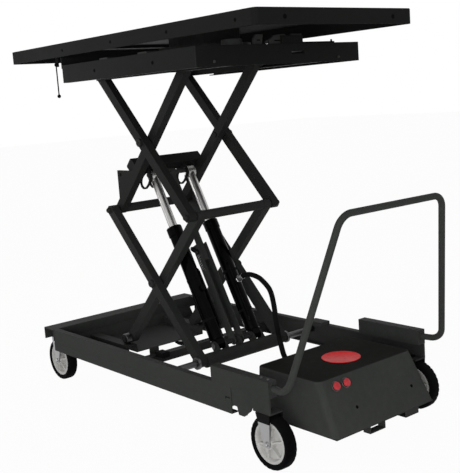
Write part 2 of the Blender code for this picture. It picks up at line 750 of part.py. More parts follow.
# Where the ram pin lies in the slotted ears of the lift beam as the table goes down
def ram_pin_path(steps=12):
    def ram_line(angle):
        corner = Vector((-ARM_LENGTH * math.cos(angle), 0.0, ARM_LENGTH * math.sin(angle)))
        along = Vector((math.cos(angle), 0.0, math.sin(angle)))
        across = Vector((-math.sin(angle), 0.0, math.cos(angle)))
        top = corner + RAM_TOP_ALONG * along + RAM_TOP_ACROSS * across
        line = top - RAM_FOOT
        return math.atan2(line.z, line.x), line.length, top, along, across

    rest_turn, rest_length = ram_line(REST_ANGLE)[:2]
    low_turn, low_length = ram_line(LOW_ANGLE)[:2]
    path = []
    for step in range(steps + 1):
        share = step / steps
        turn = rest_turn + share * (low_turn - rest_turn)
        length = rest_length + share * (low_length - rest_length)
        pin = RAM_FOOT + Vector((math.cos(turn), 0.0, math.sin(turn))) * length
        top, along, across = ram_line(REST_ANGLE + share * (LOW_ANGLE - REST_ANGLE))[2:]
        drift = pin - top
        path.append(RAM_TOP + drift.dot(along) * UP_RIGHT + drift.dot(across) * ARM_NORMAL)
    return path


def hull_prism(circles, start_y, end_y):
    shape = bmesh.new()
    for centre, radius in circles:
        for step in range(10):
            angle = 2 * math.pi * step / 10
            x, z = centre[0] + radius * math.cos(angle), centre[2] + radius * math.sin(angle)
            shape.verts.new((x, start_y, z))
            shape.verts.new((x, end_y, z))
    hull = bmesh.ops.convex_hull(shape, input=shape.verts)
    leftover = [item for item in hull["geom_interior"] if isinstance(item, bmesh.types.BMVert)]
    bmesh.ops.delete(shape, geom=leftover, context="VERTS")
    return shape


def lift_beam(joints):
    along = BEAM_ALONG - BEAM_SIZE / 2
    across = ARM_RADIUS + SEAT_GAP
    corners = []
    for s, n in ((0, 0), (BEAM_SIZE, 0), (BEAM_SIZE, BEAM_SIZE), (0, BEAM_SIZE)):
        place = MID_LEFT + (along + s) * UP_RIGHT + (across + n) * ARM_NORMAL
        corners.append((place.x, place.z))
    reach = INNER_ARM_Y + HALF_ARM - GUSSET_THICKNESS - SEAT_GAP
    beam = prism(round_corners(corners, 0.006, 2), -reach, reach, "Y")
    path = ram_pin_path()
    slot = [(place, EYE_PIN_RADIUS + SLOT_CLEARANCE) for place in path]
    rim = [(place, EYE_PIN_RADIUS + SLOT_CLEARANCE + LUG_THICKNESS) for place in path]
    root = MID_LEFT + (along + BEAM_SIZE / 2) * UP_RIGHT + (across + BEAM_SIZE / 2) * ARM_NORMAL
    rim.append((root, BEAM_SIZE / 3))
    ears = [hull_prism(rim, low, high) for low, high in ear_places()]
    slot_reach = RAM_Y + EYE_WIDTH
    slots = [hull_prism(slot, -slot_reach, slot_reach)]
    make("lift_beam", joints["upper_inner"], ANTHRACITE, beam, welded=ears, cut=slots)


# Rams: black barrels on the foot pin, bright rods whose eyes ride on the cross pin
def ram_barrel(joints, side, hand):
    start = RAM_FOOT + Vector((0.0, side * RAM_Y, 0.0))
    shoulder = BARREL_LENGTH - GLAND_LENGTH
    profile = [
        (0.0, BARREL_START),
        (BARREL_RADIUS, BARREL_START),
        (BARREL_RADIUS, shoulder),
        (GLAND_RADIUS, shoulder + 0.002),
        (GLAND_RADIUS, BARREL_LENGTH - 0.004),
        (GLAND_RADIUS - 0.004, BARREL_LENGTH),
        (ROD_RADIUS + ROD_FIT, BARREL_LENGTH),
        (ROD_RADIUS + ROD_FIT, BORE_END),
        (0.0, BORE_END),
    ]
    low, high = side * (RAM_Y - EYE_WIDTH / 2), side * (RAM_Y + EYE_WIDTH / 2)
    eye = bar(RAM_FOOT, RAM_FOOT + RAM_AXIS * (BARREL_START + 0.010), EYE_RADIUS - 0.001, low, high)
    hole = cross_pin(EYE_PIN_RADIUS + PIN_CLEARANCE, RAM_FOOT, 0.0, side * (RAM_Y + EYE_WIDTH))
    port_start = start + RAM_AXIS * PORT_ALONG + RAM_SIDE * (BARREL_RADIUS - 0.004)
    port_end = start + RAM_AXIS * PORT_ALONG + RAM_SIDE * (PORT_REACH - SEAT_GAP)
    port = cylinder(PORT_RADIUS, port_start, port_end, 12)
    shape = turned(profile, start, RAM_AXIS, 24)
    make(f"ram_barrel_{hand}", joints["barrels"], BLACK, shape, welded=[eye, port], cut=[hole], roughness=0.3)


def ram_rod(joints, side, hand):
    start = RAM_FOOT + Vector((0.0, side * RAM_Y, 0.0))
    low_end = BARREL_LENGTH - ROD_HIDDEN_LENGTH
    profile = [(0.0, low_end), (ROD_RADIUS, low_end), (ROD_RADIUS, RAM_LENGTH - 0.008), (0.0, RAM_LENGTH - 0.008)]
    low, high = side * (RAM_Y - EYE_WIDTH / 2), side * (RAM_Y + EYE_WIDTH / 2)
    eye = bar(RAM_TOP - RAM_AXIS * 0.014, RAM_TOP, EYE_RADIUS, low, high)
    hole = cross_pin(EYE_PIN_RADIUS + PIN_CLEARANCE, RAM_TOP, 0.0, side * (RAM_Y + EYE_WIDTH))
    shape = turned(profile, start, RAM_AXIS, 24)
    make(f"ram_rod_{hand}", joints["rods"], CHROME, shape, welded=[eye], cut=[hole], metallic=1.0, roughness=0.15)


# Safety prop: a channel on the foot pin takes the bar that hangs from the cross pin
def prop_channel(joints):
    half = PROP_WIDTH / 2
    back = -PROP_DEPTH * 0.6
    front = back + PROP_DEPTH
    within = half - PROP_WALL
    outer = block_along_ram(0.0, PROP_LENGTH, back, front, -half, half)
    lugs = []
    for side in (-1, 1):
        low, high = mirrored(side, within, half)
        lugs.append(bar(RAM_FOOT, RAM_FOOT + RAM_AXIS * EYE_RADIUS, EYE_RADIUS - OVERLAP, low, high))
    inner = block_along_ram(-2 * EYE_RADIUS, PROP_LENGTH + OVERLAP, back + PROP_WALL, front + OVERLAP, -within, within)
    relief = block_along_ram(-2 * EYE_RADIUS, PROP_RELIEF, back - OVERLAP, back + 2 * PROP_WALL, -within, within)
    bore = cross_pin(EYE_PIN_RADIUS + PIN_CLEARANCE, RAM_FOOT, -PROP_WIDTH, PROP_WIDTH)
    place = RAM_FOOT + RAM_AXIS * PAWL_ALONG
    stub = cross_pin(PAWL_PIN_RADIUS, place, -half - PAWL_THICKNESS - 2 * SIDE_PLAY, -half + PROP_WALL / 2, 12)
    make("prop_channel", joints["barrels"], ANTHRACITE, outer, welded=[stub] + lugs, cut=[inner, relief, bore])


def prop_pawl(joints):
    place = RAM_FOOT + RAM_AXIS * PAWL_ALONG
    tip = place + RAM_AXIS * PAWL_LENGTH * 0.5 - RAM_SIDE * PAWL_LENGTH * 0.5
    start = -PROP_WIDTH / 2 - SIDE_PLAY
    shape = bar(place, tip, 2 * PAWL_PIN_RADIUS, start - PAWL_THICKNESS, start, 6)
    bore = cross_pin(PAWL_PIN_RADIUS + PIN_CLEARANCE, place, start - 2 * PAWL_THICKNESS, start + PAWL_THICKNESS, 12)
    carrier = joint_empty("joint_pawl", place, joints["barrels"])
    make("prop_pawl", carrier, BLACK, shape, cut=[bore])


def prop_bar(joints):
    half = PROP_BAR_WIDTH / 2
    low_end = PROP_LENGTH - ROD_HIDDEN_LENGTH
    shape = block_along_ram(low_end, RAM_LENGTH, -PROP_BAR_DEPTH / 2, PROP_BAR_DEPTH / 2, -half, half)
    reach = RAM_Y + EYE_WIDTH / 2 + LUG_THICKNESS + SIDE_PLAY
    eye = cross_pin(EYE_RADIUS, RAM_TOP, -half, half)
    pin = cross_pin(EYE_PIN_RADIUS, RAM_TOP, -reach, reach)
    make("prop_bar", joints["rods"], ANTHRACITE, shape, welded=[eye, pin])


# Platform frame: channel sides, end plates with a lip, and two bearers for the arms
def platform_side(joints, side, hand):
    outer = FRAME_OUTER_Y
    inner = outer - FRAME_WALL
    tip = outer - FRAME_FLANGE
    low, high = FRAME_BOTTOM_Z, FRAME_TOP_Z
    wall = FRAME_WALL
    outline = [(outer, low), (outer, high), (tip, high), (tip, high - wall)]
    outline += [(inner, high - wall), (inner, low + wall), (tip, low + wall), (tip, low)]
    outline = [(side * y, z) for y, z in outline]
    start = FRAME_LEFT_X + FRAME_END_WALL + SEAT_GAP
    end = FRAME_RIGHT_X - FRAME_END_WALL - SEAT_GAP
    make(f"platform_side_{hand}", joints["platform"], ANTHRACITE, prism(outline, start, end, "X"))


def platform_ends(joints):
    reach = FRAME_OUTER_Y
    low = TOP_PIVOT_Z + ROLLER_RADIUS + SEAT_GAP * 2 + BEARER_SHEET
    high = FRAME_TOP_Z + FRAME_LIP_HEIGHT
    left = box((FRAME_LEFT_X, -reach, low), (FRAME_LEFT_X + FRAME_END_WALL, reach, high))
    make("platform_end_left", joints["platform"], ANTHRACITE, left)
    start = FRAME_RIGHT_X - FRAME_END_WALL
    right = box((start, -reach, FRAME_BOTTOM_Z), (FRAME_RIGHT_X, reach, FRAME_TOP_Z))
    lock_low = (start - LOCK_LENGTH, 0.0, FRAME_TOP_Z - LOCK_REACH)
    lock = box(lock_low, (start + OVERLAP, LOCK_WIDTH, FRAME_TOP_Z + LOCK_REACH))
    slot_z = TOP_PIVOT_Z + END_SLOT_HEIGHT
    slot_low = (start - OVERLAP, END_SLOT_Y - END_SLOT_HALF_WIDTH, slot_z - END_SLOT_HALF_HEIGHT)
    slot_high = (FRAME_RIGHT_X + OVERLAP, END_SLOT_Y + END_SLOT_HALF_WIDTH, slot_z + END_SLOT_HALF_HEIGHT)
    slot = box(slot_low, slot_high)
    make("platform_end_right", joints["platform"], ANTHRACITE, right, welded=[lock], cut=[slot])


def platform_bearer(joints, side, hand):
    inner = BEARER_INNER
    outer = inner + BEARER_WALL
    half = ROLLER_RADIUS + SEAT_GAP
    sheet = BEARER_SHEET
    start = FRAME_LEFT_X
    end = FRAME_RIGHT_X - FRAME_END_WALL - SEAT_GAP
    z = TOP_PIVOT_Z
    low, high = z - half - sheet, z + half + sheet
    web = box((start, side * inner, low), (end, side * outer, high))
    flange_tip = INNER_ARM_Y + HALF_ARM + 3 * SIDE_PLAY
    flange_start = TOP_PIVOT.x + BEARER_FLANGE_START
    welded = []
    for bottom in (low, high - sheet):
        corner = (flange_start, side * flange_tip, bottom)
        welded.append(box(corner, (end, side * (inner + OVERLAP), bottom + sheet)))
    pin_tip = OUTER_ARM_Y - HALF_ARM - WASHER_THICKNESS
    welded.append(cross_pin(PIN_RADIUS, TOP_PIVOT, side * pin_tip, side * (inner + OVERLAP)))
    make(f"platform_bearer_{hand}", joints["platform"], ANTHRACITE, web, welded=welded)


def swivel_rings(joints):
    low = FRAME_TOP_Z + SEAT_GAP
    high = low + RING_HEIGHT
    profile = [(RING_BORE, low), (RING_RADIUS, low), (RING_RADIUS, high), (RING_BORE, high)]
    ring = turned(profile, (RING_X, 0.0, 0.0), (0, 0, 1), 32, closed=True)
    straps = []
    for sign in (-1, 1):
        x = RING_X + sign * (RING_RADIUS - STRAP_WIDTH)
        for side in (-1, 1):
            near, far = side * ((RING_BORE + RING_RADIUS) / 2), side * (FRAME_OUTER_Y - FRAME_WALL)
            straps.append(box((x - STRAP_WIDTH / 2, near, low), (x + STRAP_WIDTH / 2, far, low + STRAP_HEIGHT)))
    make("swivel_ring_lower", joints["platform"], ANTHRACITE, ring, welded=straps)
    start = high + SEAT_GAP
    top = TOP_BOTTOM_Z + TOP_HEIGHT - TOP_WALL - SEAT_GAP
    step = start + RING_HEIGHT
    profile = [
        (RING_BORE, start), (RING_RADIUS - 0.006, start), (RING_RADIUS - 0.006, step),
        (HUB_RADIUS, step), (HUB_RADIUS, top), (RING_BORE, top),
    ]
    upper = turned(profile, (RING_X, 0.0, 0.0), (0, 0, 1), 32, closed=True)
    make("swivel_ring_upper", joints["top"], ANTHRACITE, upper)


def rectangle(left, right, half, z, radius, steps=4):
    corners = [(left, -half), (right, -half), (right, half), (left, half)]
    return [(x, y, z) for x, y in round_corners(corners, radius, steps)]


# Table top: a folded tray, open below, with two cross ribs and the release bracket
def top_plate(joints):
    left, right = TOP_LEFT_X, TOP_LEFT_X + TOP_LENGTH
    half = TOP_WIDTH / 2
    low, high = TOP_BOTTOM_Z, TOP_BOTTOM_Z + TOP_HEIGHT
    wall = TOP_WALL
    edge = TOP_EDGE
    rings = [
        rectangle(left + wall, right - wall, half - wall, high - wall, TOP_CORNER - wall),
        rectangle(left + wall, right - wall, half - wall, low, TOP_CORNER - wall),
        rectangle(left, right, half, low, TOP_CORNER),
        rectangle(left, right, half, high - edge, TOP_CORNER),
        rectangle(left + edge, right - edge, half - edge, high, TOP_CORNER - edge),
    ]
    welded = []
    rib_low = high - wall - TOP_RIB_HEIGHT
    rib_half = half - 4 * wall
    for x in (left + FAR_RIB_INSET, right - NEAR_RIB_INSET):
        rib_start, rib_end = x - TOP_RIB_WIDTH / 2, x + TOP_RIB_WIDTH / 2
        welded.append(box((rib_start, -rib_half, rib_low), (rib_end, rib_half, high - wall / 2)))
    x = TOP_PIVOT.x + RELEASE_X
    pin_z = low - RELEASE_PIN_DROP
    bracket_low = (x - RELEASE_BRACKET_WIDTH / 2, RELEASE_Y, pin_z - RELEASE_EYE_WIDTH)
    bracket_high = (x + RELEASE_BRACKET_WIDTH / 2, RELEASE_Y + RELEASE_BRACKET_SHEET, high - wall / 2)
    welded.append(box(bracket_low, bracket_high))
    pin_tip = RELEASE_Y - RELEASE_EYE_WIDTH - SIDE_PLAY
    welded.append(cross_pin(RELEASE_ROD_RADIUS, (x, 0.0, pin_z), pin_tip, RELEASE_Y + OVERLAP, 12))
    make("top_plate", joints["top"], ANTHRACITE, lofted(rings), welded=welded)


def release_rod(joints):
    x = TOP_PIVOT.x + RELEASE_X
    z = TOP_BOTTOM_Z - RELEASE_PIN_DROP
    low_y, high_y = RELEASE_Y - RELEASE_EYE_WIDTH, RELEASE_Y - SEAT_GAP * 2
    middle_y = (low_y + high_y) / 2
    eye = cross_pin(RELEASE_EYE_RADIUS, (x, 0.0, z), low_y, high_y, 12)
    rod_top = (x, middle_y, z - 0.75 * RELEASE_EYE_RADIUS)
    rod = cylinder(RELEASE_ROD_RADIUS, rod_top, (x, middle_y, z - RELEASE_ROD_LENGTH), 8)
    ball_profile = [(0.0, -RELEASE_BALL_RADIUS)]
    for step in range(1, 6):
        angle = math.pi * step / 6
        ball_profile.append((RELEASE_BALL_RADIUS * math.sin(angle), -RELEASE_BALL_RADIUS * math.cos(angle)))
    ball_profile.append((0.0, RELEASE_BALL_RADIUS))
    ball = turned(ball_profile, (x, middle_y, z - RELEASE_ROD_LENGTH), (0, 0, 1), 12)
    bore = cross_pin(RELEASE_ROD_RADIUS + PIN_CLEARANCE, (x, 0.0, z), low_y - OVERLAP, high_y + OVERLAP, 12)
    carrier = joint_empty("joint_release", (x, RELEASE_Y, z), joints["top"])
    make("release_rod", carrier, BLACK, eye, welded=[rod, ball], cut=[bore])


# Handle: one bent tube in two blocks, which also carry the swivel casters
def handle_socket(joints, side, hand):
    low, high = SOCKET_BOTTOM, SOCKET_BOTTOM + SOCKET_HEIGHT
    inner, outer = RAIL_OUTER_Y - SOCKET_WIDTH, RAIL_OUTER_Y
    shape = box((SOCKET_LEFT, side * inner, low), (SOCKET_RIGHT, side * outer, high))
    plate_low = CASTER_PLATE_TOP - CASTER_PLATE
    plate_left = SWIVEL_X - CASTER_PLATE_LENGTH / 2
    plate_right = SWIVEL_X + CASTER_PLATE_LENGTH / 2
    leg_inner, leg_outer = mirrored(side, outer - SOCKET_LEG_THICKNESS, outer - OVERLAP / 2)
    leg = box((plate_left, leg_inner, plate_low), (plate_right, leg_outer, low + OVERLAP))
    plate_inner = side * (2 * SWIVEL_Y - RAIL_OUTER_Y)
    plate = box((plate_left, plate_inner, plate_low), (plate_right, leg_outer, CASTER_PLATE_TOP))
    radius = (HANDLE_RADIUS + SEAT_GAP) / math.cos(math.pi / 16)
    mouth = Vector((SOCKET_RIGHT + OVERLAP, side * SOCKET_Y, HANDLE_Z))
    bore = cylinder(radius, mouth, mouth - Vector((SOCKET_DEPTH + OVERLAP, 0.0, 0.0)), 16)
    pin_low = (SWIVEL_X, side * SWIVEL_Y, plate_low - OVERLAP)
    pin_high = (SWIVEL_X, side * SWIVEL_Y, CASTER_PLATE_TOP + OVERLAP)
    king = cylinder(SWIVEL_PIN_RADIUS + PIN_CLEARANCE, pin_low, pin_high)
    make(f"handle_socket_{hand}", joints["base"], ANTHRACITE, shape, welded=[leg, plate], cut=[bore, king])


def bend(corners, radius, steps=5):
    points = [Vector(corners[0])]
    for before, corner, after in zip(corners, corners[1:], corners[2:]):
        corner = Vector(corner)
        back = (Vector(before) - corner).normalized()
        ahead = (Vector(after) - corner).normalized()
        half = back.angle(ahead) / 2
        centre = corner + (back + ahead).normalized() * radius / math.sin(half)
        start = corner + back * radius / math.tan(half) - centre
        end = corner + ahead * radius / math.tan(half) - centre
        for step in range(steps + 1):
            points.append(centre + start.lerp(end, step / steps).normalized() * radius)
    points.append(Vector(corners[-1]))
    return points


def push_handle(joints):
    start_x = SOCKET_RIGHT - SOCKET_DEPTH + SEAT_GAP * 2
    half = [
        (start_x, SOCKET_Y, HANDLE_Z),
        (SOCKET_RIGHT, SOCKET_Y, HANDLE_Z),
        (HANDLE_FOOT_X, HANDLE_FOOT_Y, HANDLE_Z),
        (HANDLE_TOP_X, HANDLE_TOP_Y, HANDLE_TOP_Z),
    ]
    other = [(x, -y, z) for x, y, z in reversed(half)]
    bent = bend(half[1:] + other[:-1], HANDLE_BEND)
    points = [Vector(half[0])] + bent + [Vector(other[-1])]
    tube_curve("push_handle", points, HANDLE_RADIUS, joints["base"], ANTHRACITE, 3)


# Casters and wheels
def swivel_fork(joints, side, hand):
    pivot = (SWIVEL_X, side * SWIVEL_Y, WHEEL_Z)
    carrier = joint_empty(f"joint_caster_{hand}", pivot, joints["base"])
    crown_top = CASTER_PLATE_TOP - CASTER_PLATE - SEAT_GAP
    crown_left, crown_right = SWIVEL_X - CROWN_BACK, SWIVEL_X + CROWN_FRONT
    pieces = wheel_fork(SWIVEL_X + SWIVEL_TRAIL, side * SWIVEL_Y, crown_left, crown_right, crown_top, FORK_WALL)
    centre = (SWIVEL_X, side * SWIVEL_Y, 0.0)
    head_low = CASTER_PLATE_TOP + SEAT_GAP
    start = Vector(centre) + Vector((0, 0, crown_top - OVERLAP))
    pieces.append(cylinder(SWIVEL_PIN_RADIUS, start, Vector(centre) + Vector((0, 0, head_low + OVERLAP))))
    head_start = Vector(centre) + Vector((0, 0, head_low))
    pieces.append(cylinder(WASHER_RADIUS, head_start, head_start + Vector((0, 0, WASHER_THICKNESS))))
    make(f"swivel_fork_{hand}", carrier, ZINC, pieces[0], welded=pieces[1:], metallic=1.0)
    return carrier


def wheel(name, carrier, centre):
    half_hub, half_boss, half_web = HUB_WIDTH / 2, HUB_BOSS_WIDTH / 2, HUB_WEB_WIDTH / 2
    bore = WHEEL_AXLE_RADIUS + PIN_CLEARANCE
    rim = HUB_OUTER_RADIUS - HUB_RIM
    side_profile = [(HUB_BOSS_RADIUS, half_boss), (HUB_BOSS_RADIUS + 0.003, half_web), (rim - 0.004, half_web)]
    side_profile += [(rim, half_hub), (HUB_OUTER_RADIUS, half_hub)]
    profile = [(bore, half_boss)] + side_profile
    profile += [(radius, -distance) for radius, distance in reversed(side_profile)]
    profile += [(bore, -half_boss)]
    joint = joint_empty(f"joint_{name}", centre, carrier)
    hub = turned(profile, centre, (0, 1, 0), WHEEL_SIDES, closed=True)
    make(f"{name}_hub", joint, WHEEL_GREY, hub)
    true_radius = WHEEL_RADIUS / math.cos(math.pi / WHEEL_SIDES)
    half = TYRE_WIDTH / 2
    inner = HUB_OUTER_RADIUS + SEAT_GAP
    profile = [
        (inner, -half_hub), (true_radius - TREAD_SHOULDER, -half), (true_radius, TREAD_CHAMFER - half),
        (true_radius, half - TREAD_CHAMFER), (true_radius - TREAD_SHOULDER, half), (inner, half_hub),
    ]
    tyre = turned(profile, centre, (0, 1, 0), WHEEL_SIDES, closed=True)
    make(f"{name}_tyre", joint, BLACK, tyre, roughness=0.8)


def running_gear(joints):
    for side, hand in ((1, "left"), (-1, "right")):
        fork = swivel_fork(joints, side, hand)
        wheel(f"swivel_wheel_{hand}", fork, (SWIVEL_X + SWIVEL_TRAIL, side * SWIVEL_Y, WHEEL_Z))
        wheel(f"fixed_wheel_{hand}", joints["base"], (FIXED_WHEEL_X, side * FIXED_WHEEL_Y, WHEEL_Z))


# Power unit: a folded cover with a sloping end face, over a tray with battery and pump
def face_frame():
    run = COVER_BOTTOM_RIGHT - COVER_TOP_RIGHT
    fall = (COVER_TOP - COVER_EDGE) - COVER_BOTTOM
    outward = Vector((fall, 0.0, run)).normalized()
    share = ((COVER_TOP - COVER_EDGE) - BUTTON_HEIGHT) / fall
    return outward, COVER_TOP_RIGHT + share * run


def button_place(y):
    outward, x = face_frame()
    return Vector((x, y, BUTTON_HEIGHT)), outward


BUTTON_PLACES = (("raise_button", -0.130), ("lower_button", -0.182))


def power_unit_cover(joints):
    left, half, wall, corner = COVER_LEFT, COVER_TOP_HALF, COVER_WALL, COVER_CORNER
    shoulder = COVER_TOP - COVER_EDGE
    edge = COVER_EDGE
    round_over = 0.3 * COVER_EDGE
    rings = [
        rectangle(left + wall, COVER_TOP_RIGHT - wall, half - wall, COVER_TOP - wall, corner - wall),
        rectangle(left + wall, COVER_TOP_RIGHT - wall, half - wall, shoulder - wall, corner - wall),
        rectangle(left + wall, COVER_BOTTOM_RIGHT - wall, COVER_BOTTOM_HALF - wall, COVER_BOTTOM, corner - wall),
        rectangle(left, COVER_BOTTOM_RIGHT, COVER_BOTTOM_HALF, COVER_BOTTOM, corner),
        rectangle(left, COVER_TOP_RIGHT, half, shoulder, corner),
        rectangle(
            left + round_over, COVER_TOP_RIGHT - round_over, half - round_over, COVER_TOP - round_over, corner - round_over
        ),
        rectangle(left + edge, COVER_TOP_RIGHT - edge, half - edge, COVER_TOP, corner - edge),
    ]
    cut = []
    for _, y in BUTTON_PLACES:
        place, outward = button_place(y)
        radius = BUTTON_STEM_RADIUS + PIN_CLEARANCE
        cut.append(cylinder(radius, place - outward * BUTTON_HEAD_RADIUS, place + outward * BUTTON_HEAD_RADIUS))
    gland_start = (COVER_LEFT + COVER_WALL / 2, HOSE_END[1], HOSE_END[2])
    gland_end = (COVER_LEFT - HOSE_GLAND_LENGTH, HOSE_END[1], HOSE_END[2])
    gland = cylinder(HOSE_GLAND_RADIUS, gland_start, gland_end, 16)
    make("power_unit_cover", joints["base"], ANTHRACITE, lofted(rings), welded=[gland], cut=cut)


def cover_disc(joints):
    low = (DISC_X, DISC_Y, COVER_TOP + SEAT_GAP)
    high = (DISC_X, DISC_Y, COVER_TOP + SEAT_GAP + DISC_THICKNESS)
    make("cover_disc", joints["base"], RED, cylinder(DISC_RADIUS, low, high, 40), roughness=0.35)


def push_button(joints, name, y):
    place, outward = button_place(y)
    stem, head, travel = BUTTON_STEM_RADIUS, BUTTON_HEAD_RADIUS, BUTTON_TRAVEL
    keeper = COVER_WALL + SIDE_PLAY + SEAT_GAP
    ring, back = stem + SIDE_PLAY * 3, keeper + BUTTON_KEEPER
    seat = travel + SEAT_GAP
    top = seat + BUTTON_HEAD_HEIGHT
    profile = [
        (0.0, -back), (ring, -back), (ring, -keeper), (stem, -keeper), (stem, seat), (head, seat),
        (head, top - BUTTON_KEEPER), (head - BUTTON_KEEPER, top - SIDE_PLAY), (0.0, top),
    ]
    carrier = joint_empty(f"joint_{name}", place, joints["base"])
    make(name, carrier, RED, turned(profile, place, outward, 24), roughness=0.35)


def power_unit_tray(joints):
    beam_low = RAIL_BOTTOM + RAIL_WALL + SEAT_GAP
    beam_right = COVER_LEFT - SEAT_GAP
    reach = WEB_INNER - SEAT_GAP
    beam_high = beam_low + TRAY_BEAM_HEIGHT
    beam = box((TRAY_BEAM_LEFT, -reach, beam_low), (beam_right - TRAY_SHEET / 2, reach, beam_high))
    floor_low = TRAY_TOP - TRAY_SHEET
    outline = [
        (beam_right - TRAY_SHEET, floor_low),
        (COVER_BOTTOM_RIGHT - COVER_WALL, floor_low),
        (COVER_BOTTOM_RIGHT - COVER_WALL, TRAY_TOP),
        (beam_right, TRAY_TOP),
        (beam_right, beam_high - TRAY_BEAM_HEIGHT / 2),
        (beam_right - TRAY_SHEET, beam_high - TRAY_BEAM_HEIGHT / 2),
    ]
    half = COVER_BOTTOM_HALF - COVER_CORNER / 4
    make("power_unit_tray", joints["base"], ANTHRACITE, beam, welded=[prism(outline, -half, half, "Y")])


def battery(joints):
    low = TRAY_TOP + SEAT_GAP
    left = COVER_LEFT + BATTERY_INSET
    right = left + BATTERY_LENGTH
    near, far = BATTERY_Y, BATTERY_Y + BATTERY_WIDTH
    high = low + BATTERY_HEIGHT
    inset = BATTERY_LID_INSET
    lid_top = high + BATTERY_LID
    lid = box((left + inset, near + inset, high - OVERLAP), (right - inset, far - inset, lid_top))
    posts = []
    post_x = right - BATTERY_POST_INSET
    for y in (near + BATTERY_POST_INSET, far - BATTERY_POST_INSET):
        post_top = (post_x, y, lid_top + 2 * BATTERY_POST_RADIUS)
        posts.append(cylinder(BATTERY_POST_RADIUS, (post_x, y, lid_top - OVERLAP), post_top, 12))
    make("battery", joints["base"], BLACK, box((left, near, low), (right, far, high)), welded=[lid] + posts)


def pump_unit(joints):
    low = TRAY_TOP + SEAT_GAP
    left = COVER_LEFT + PUMP_INSET
    tank = box((left, TANK_Y, low), (left + TANK_LENGTH, TANK_Y + TANK_WIDTH, low + TANK_HEIGHT))
    centre = (left + TANK_LENGTH / 2, 0.0, low + PUMP_RADIUS)
    motor = cross_pin(PUMP_RADIUS, centre, TANK_Y - PUMP_LENGTH, TANK_Y + OVERLAP, 24)
    post = Vector((centre[0], TANK_Y - 0.6 * PUMP_LENGTH, low + 2 * PUMP_RADIUS))
    post_reach = Vector((0.0, 0.0, BATTERY_POST_RADIUS))
    terminal = cylinder(BATTERY_POST_RADIUS, post - post_reach / 2, post + 1.5 * post_reach, 12)
    make("pump_unit", joints["base"], ZINC, tank, welded=[motor, terminal], metallic=0.5)


# Hose from the left barrel's port over to the gland on the cover
HOSE_ROUTE = (
    (-0.1148, 0.102, 0.2840),
    (-0.078, 0.1010, 0.303),
    (-0.031, 0.0930, 0.313),
    (0.020, 0.0850, 0.312),
    (0.067, 0.0760, 0.302),
    (0.134, 0.0590, 0.270),
    (0.177, 0.0380, 0.215),
    (0.220, 0.0080, 0.145),
    (0.268, -0.0200, 0.082),
    (0.310, -0.0420, 0.040),
    (0.345, -0.0515, 0.0225),
    HOSE_END,
)


def smooth_route(route, spacing):
    points = [Vector(place) for place in route]
    padded = [2 * points[0] - points[1]] + points + [2 * points[-1] - points[-2]]
    result = []
    for before, start, end, after in zip(padded, padded[1:], padded[2:], padded[3:]):
        count = max(1, round((end - start).length / spacing))
        for step in range(count):
            t = step / count
            level = 2 * start + (end - before) * t
            curved = (2 * before - 5 * start + 4 * end - after) * t * t
            twisted = (3 * start - before - 3 * end + after) * t ** 3
            result.append((level + curved + twisted) / 2)
    result.append(points[-1])
    return result


def lift_hose(joints):
    tube_curve("lift_hose", smooth_route(HOSE_ROUTE, 0.028), HOSE_RADIUS, joints["base"], BLACK, 2)


def build_lift_table():
    joints = make_joints()
    for side, hand in ((1, "left"), (-1, "right")):
        base_rail(joints, side, f"base_rail_{hand}")
        handle_socket(joints, side, hand)
        ram_barrel(joints, side, hand)
        ram_rod(joints, side, hand)
        platform_side(joints, side, hand)
        platform_bearer(joints, side, hand)
    end_channel(joints)
    roller_track(joints)
    cross_member(joints)
    hinge_axle(joints)
    hinge_tube(joints)
    scissor_arms(joints)
    lift_beam(joints)
    prop_channel(joints)
    prop_bar(joints)
    prop_pawl(joints)
    platform_ends(joints)
    swivel_rings(joints)
    top_plate(joints)
    release_rod(joints)
    push_handle(joints)
    running_gear(joints)
    power_unit_cover(joints)
    cover_disc(joints)
    for name, y in BUTTON_PLACES:
        push_button(joints, name, y)
    power_unit_tray(joints)
    battery(joints)
    pump_unit(joints)
    lift_hose(joints)


build_lift_table()
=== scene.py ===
import math

import bmesh
import bpy
from mathutils import Matrix, Vector


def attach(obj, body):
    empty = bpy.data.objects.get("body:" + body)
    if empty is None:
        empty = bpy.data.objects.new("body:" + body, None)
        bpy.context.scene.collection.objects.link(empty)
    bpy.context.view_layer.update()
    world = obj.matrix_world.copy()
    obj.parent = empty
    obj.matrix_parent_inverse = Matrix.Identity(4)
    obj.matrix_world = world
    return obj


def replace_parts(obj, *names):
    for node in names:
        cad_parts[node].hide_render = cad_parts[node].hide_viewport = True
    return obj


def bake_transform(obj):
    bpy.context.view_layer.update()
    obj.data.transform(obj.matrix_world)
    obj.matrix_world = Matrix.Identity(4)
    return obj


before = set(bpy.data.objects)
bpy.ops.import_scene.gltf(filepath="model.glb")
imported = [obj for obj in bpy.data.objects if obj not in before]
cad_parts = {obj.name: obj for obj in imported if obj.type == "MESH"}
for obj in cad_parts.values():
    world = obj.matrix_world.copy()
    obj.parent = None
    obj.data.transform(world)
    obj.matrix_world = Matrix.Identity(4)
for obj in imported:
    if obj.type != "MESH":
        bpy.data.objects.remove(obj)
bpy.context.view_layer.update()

# Camera: a 69 mm lens, 2.9 m from the push handle's near corner and 1.3 m above the floor,
# tilted 9 degrees down and turned 4 degrees clockwise. The picture is 460 by 473 pixels.
photo_width = 460
focal_pixels = 884.62
film_width = 36.0
camera_place = Vector((2.98499, -2.35314, 1.31467))
yaw, pitch, roll = 0.8914, -0.1557, -0.0721
ahead = Vector((-math.sin(yaw) * math.cos(pitch), math.cos(yaw) * math.cos(pitch), math.sin(pitch)))
level = ahead.cross(Vector((0.0, 0.0, 1.0))).normalized()
upright = level.cross(ahead)
right = math.cos(roll) * level + math.sin(roll) * upright
above = math.cos(roll) * upright - math.sin(roll) * level
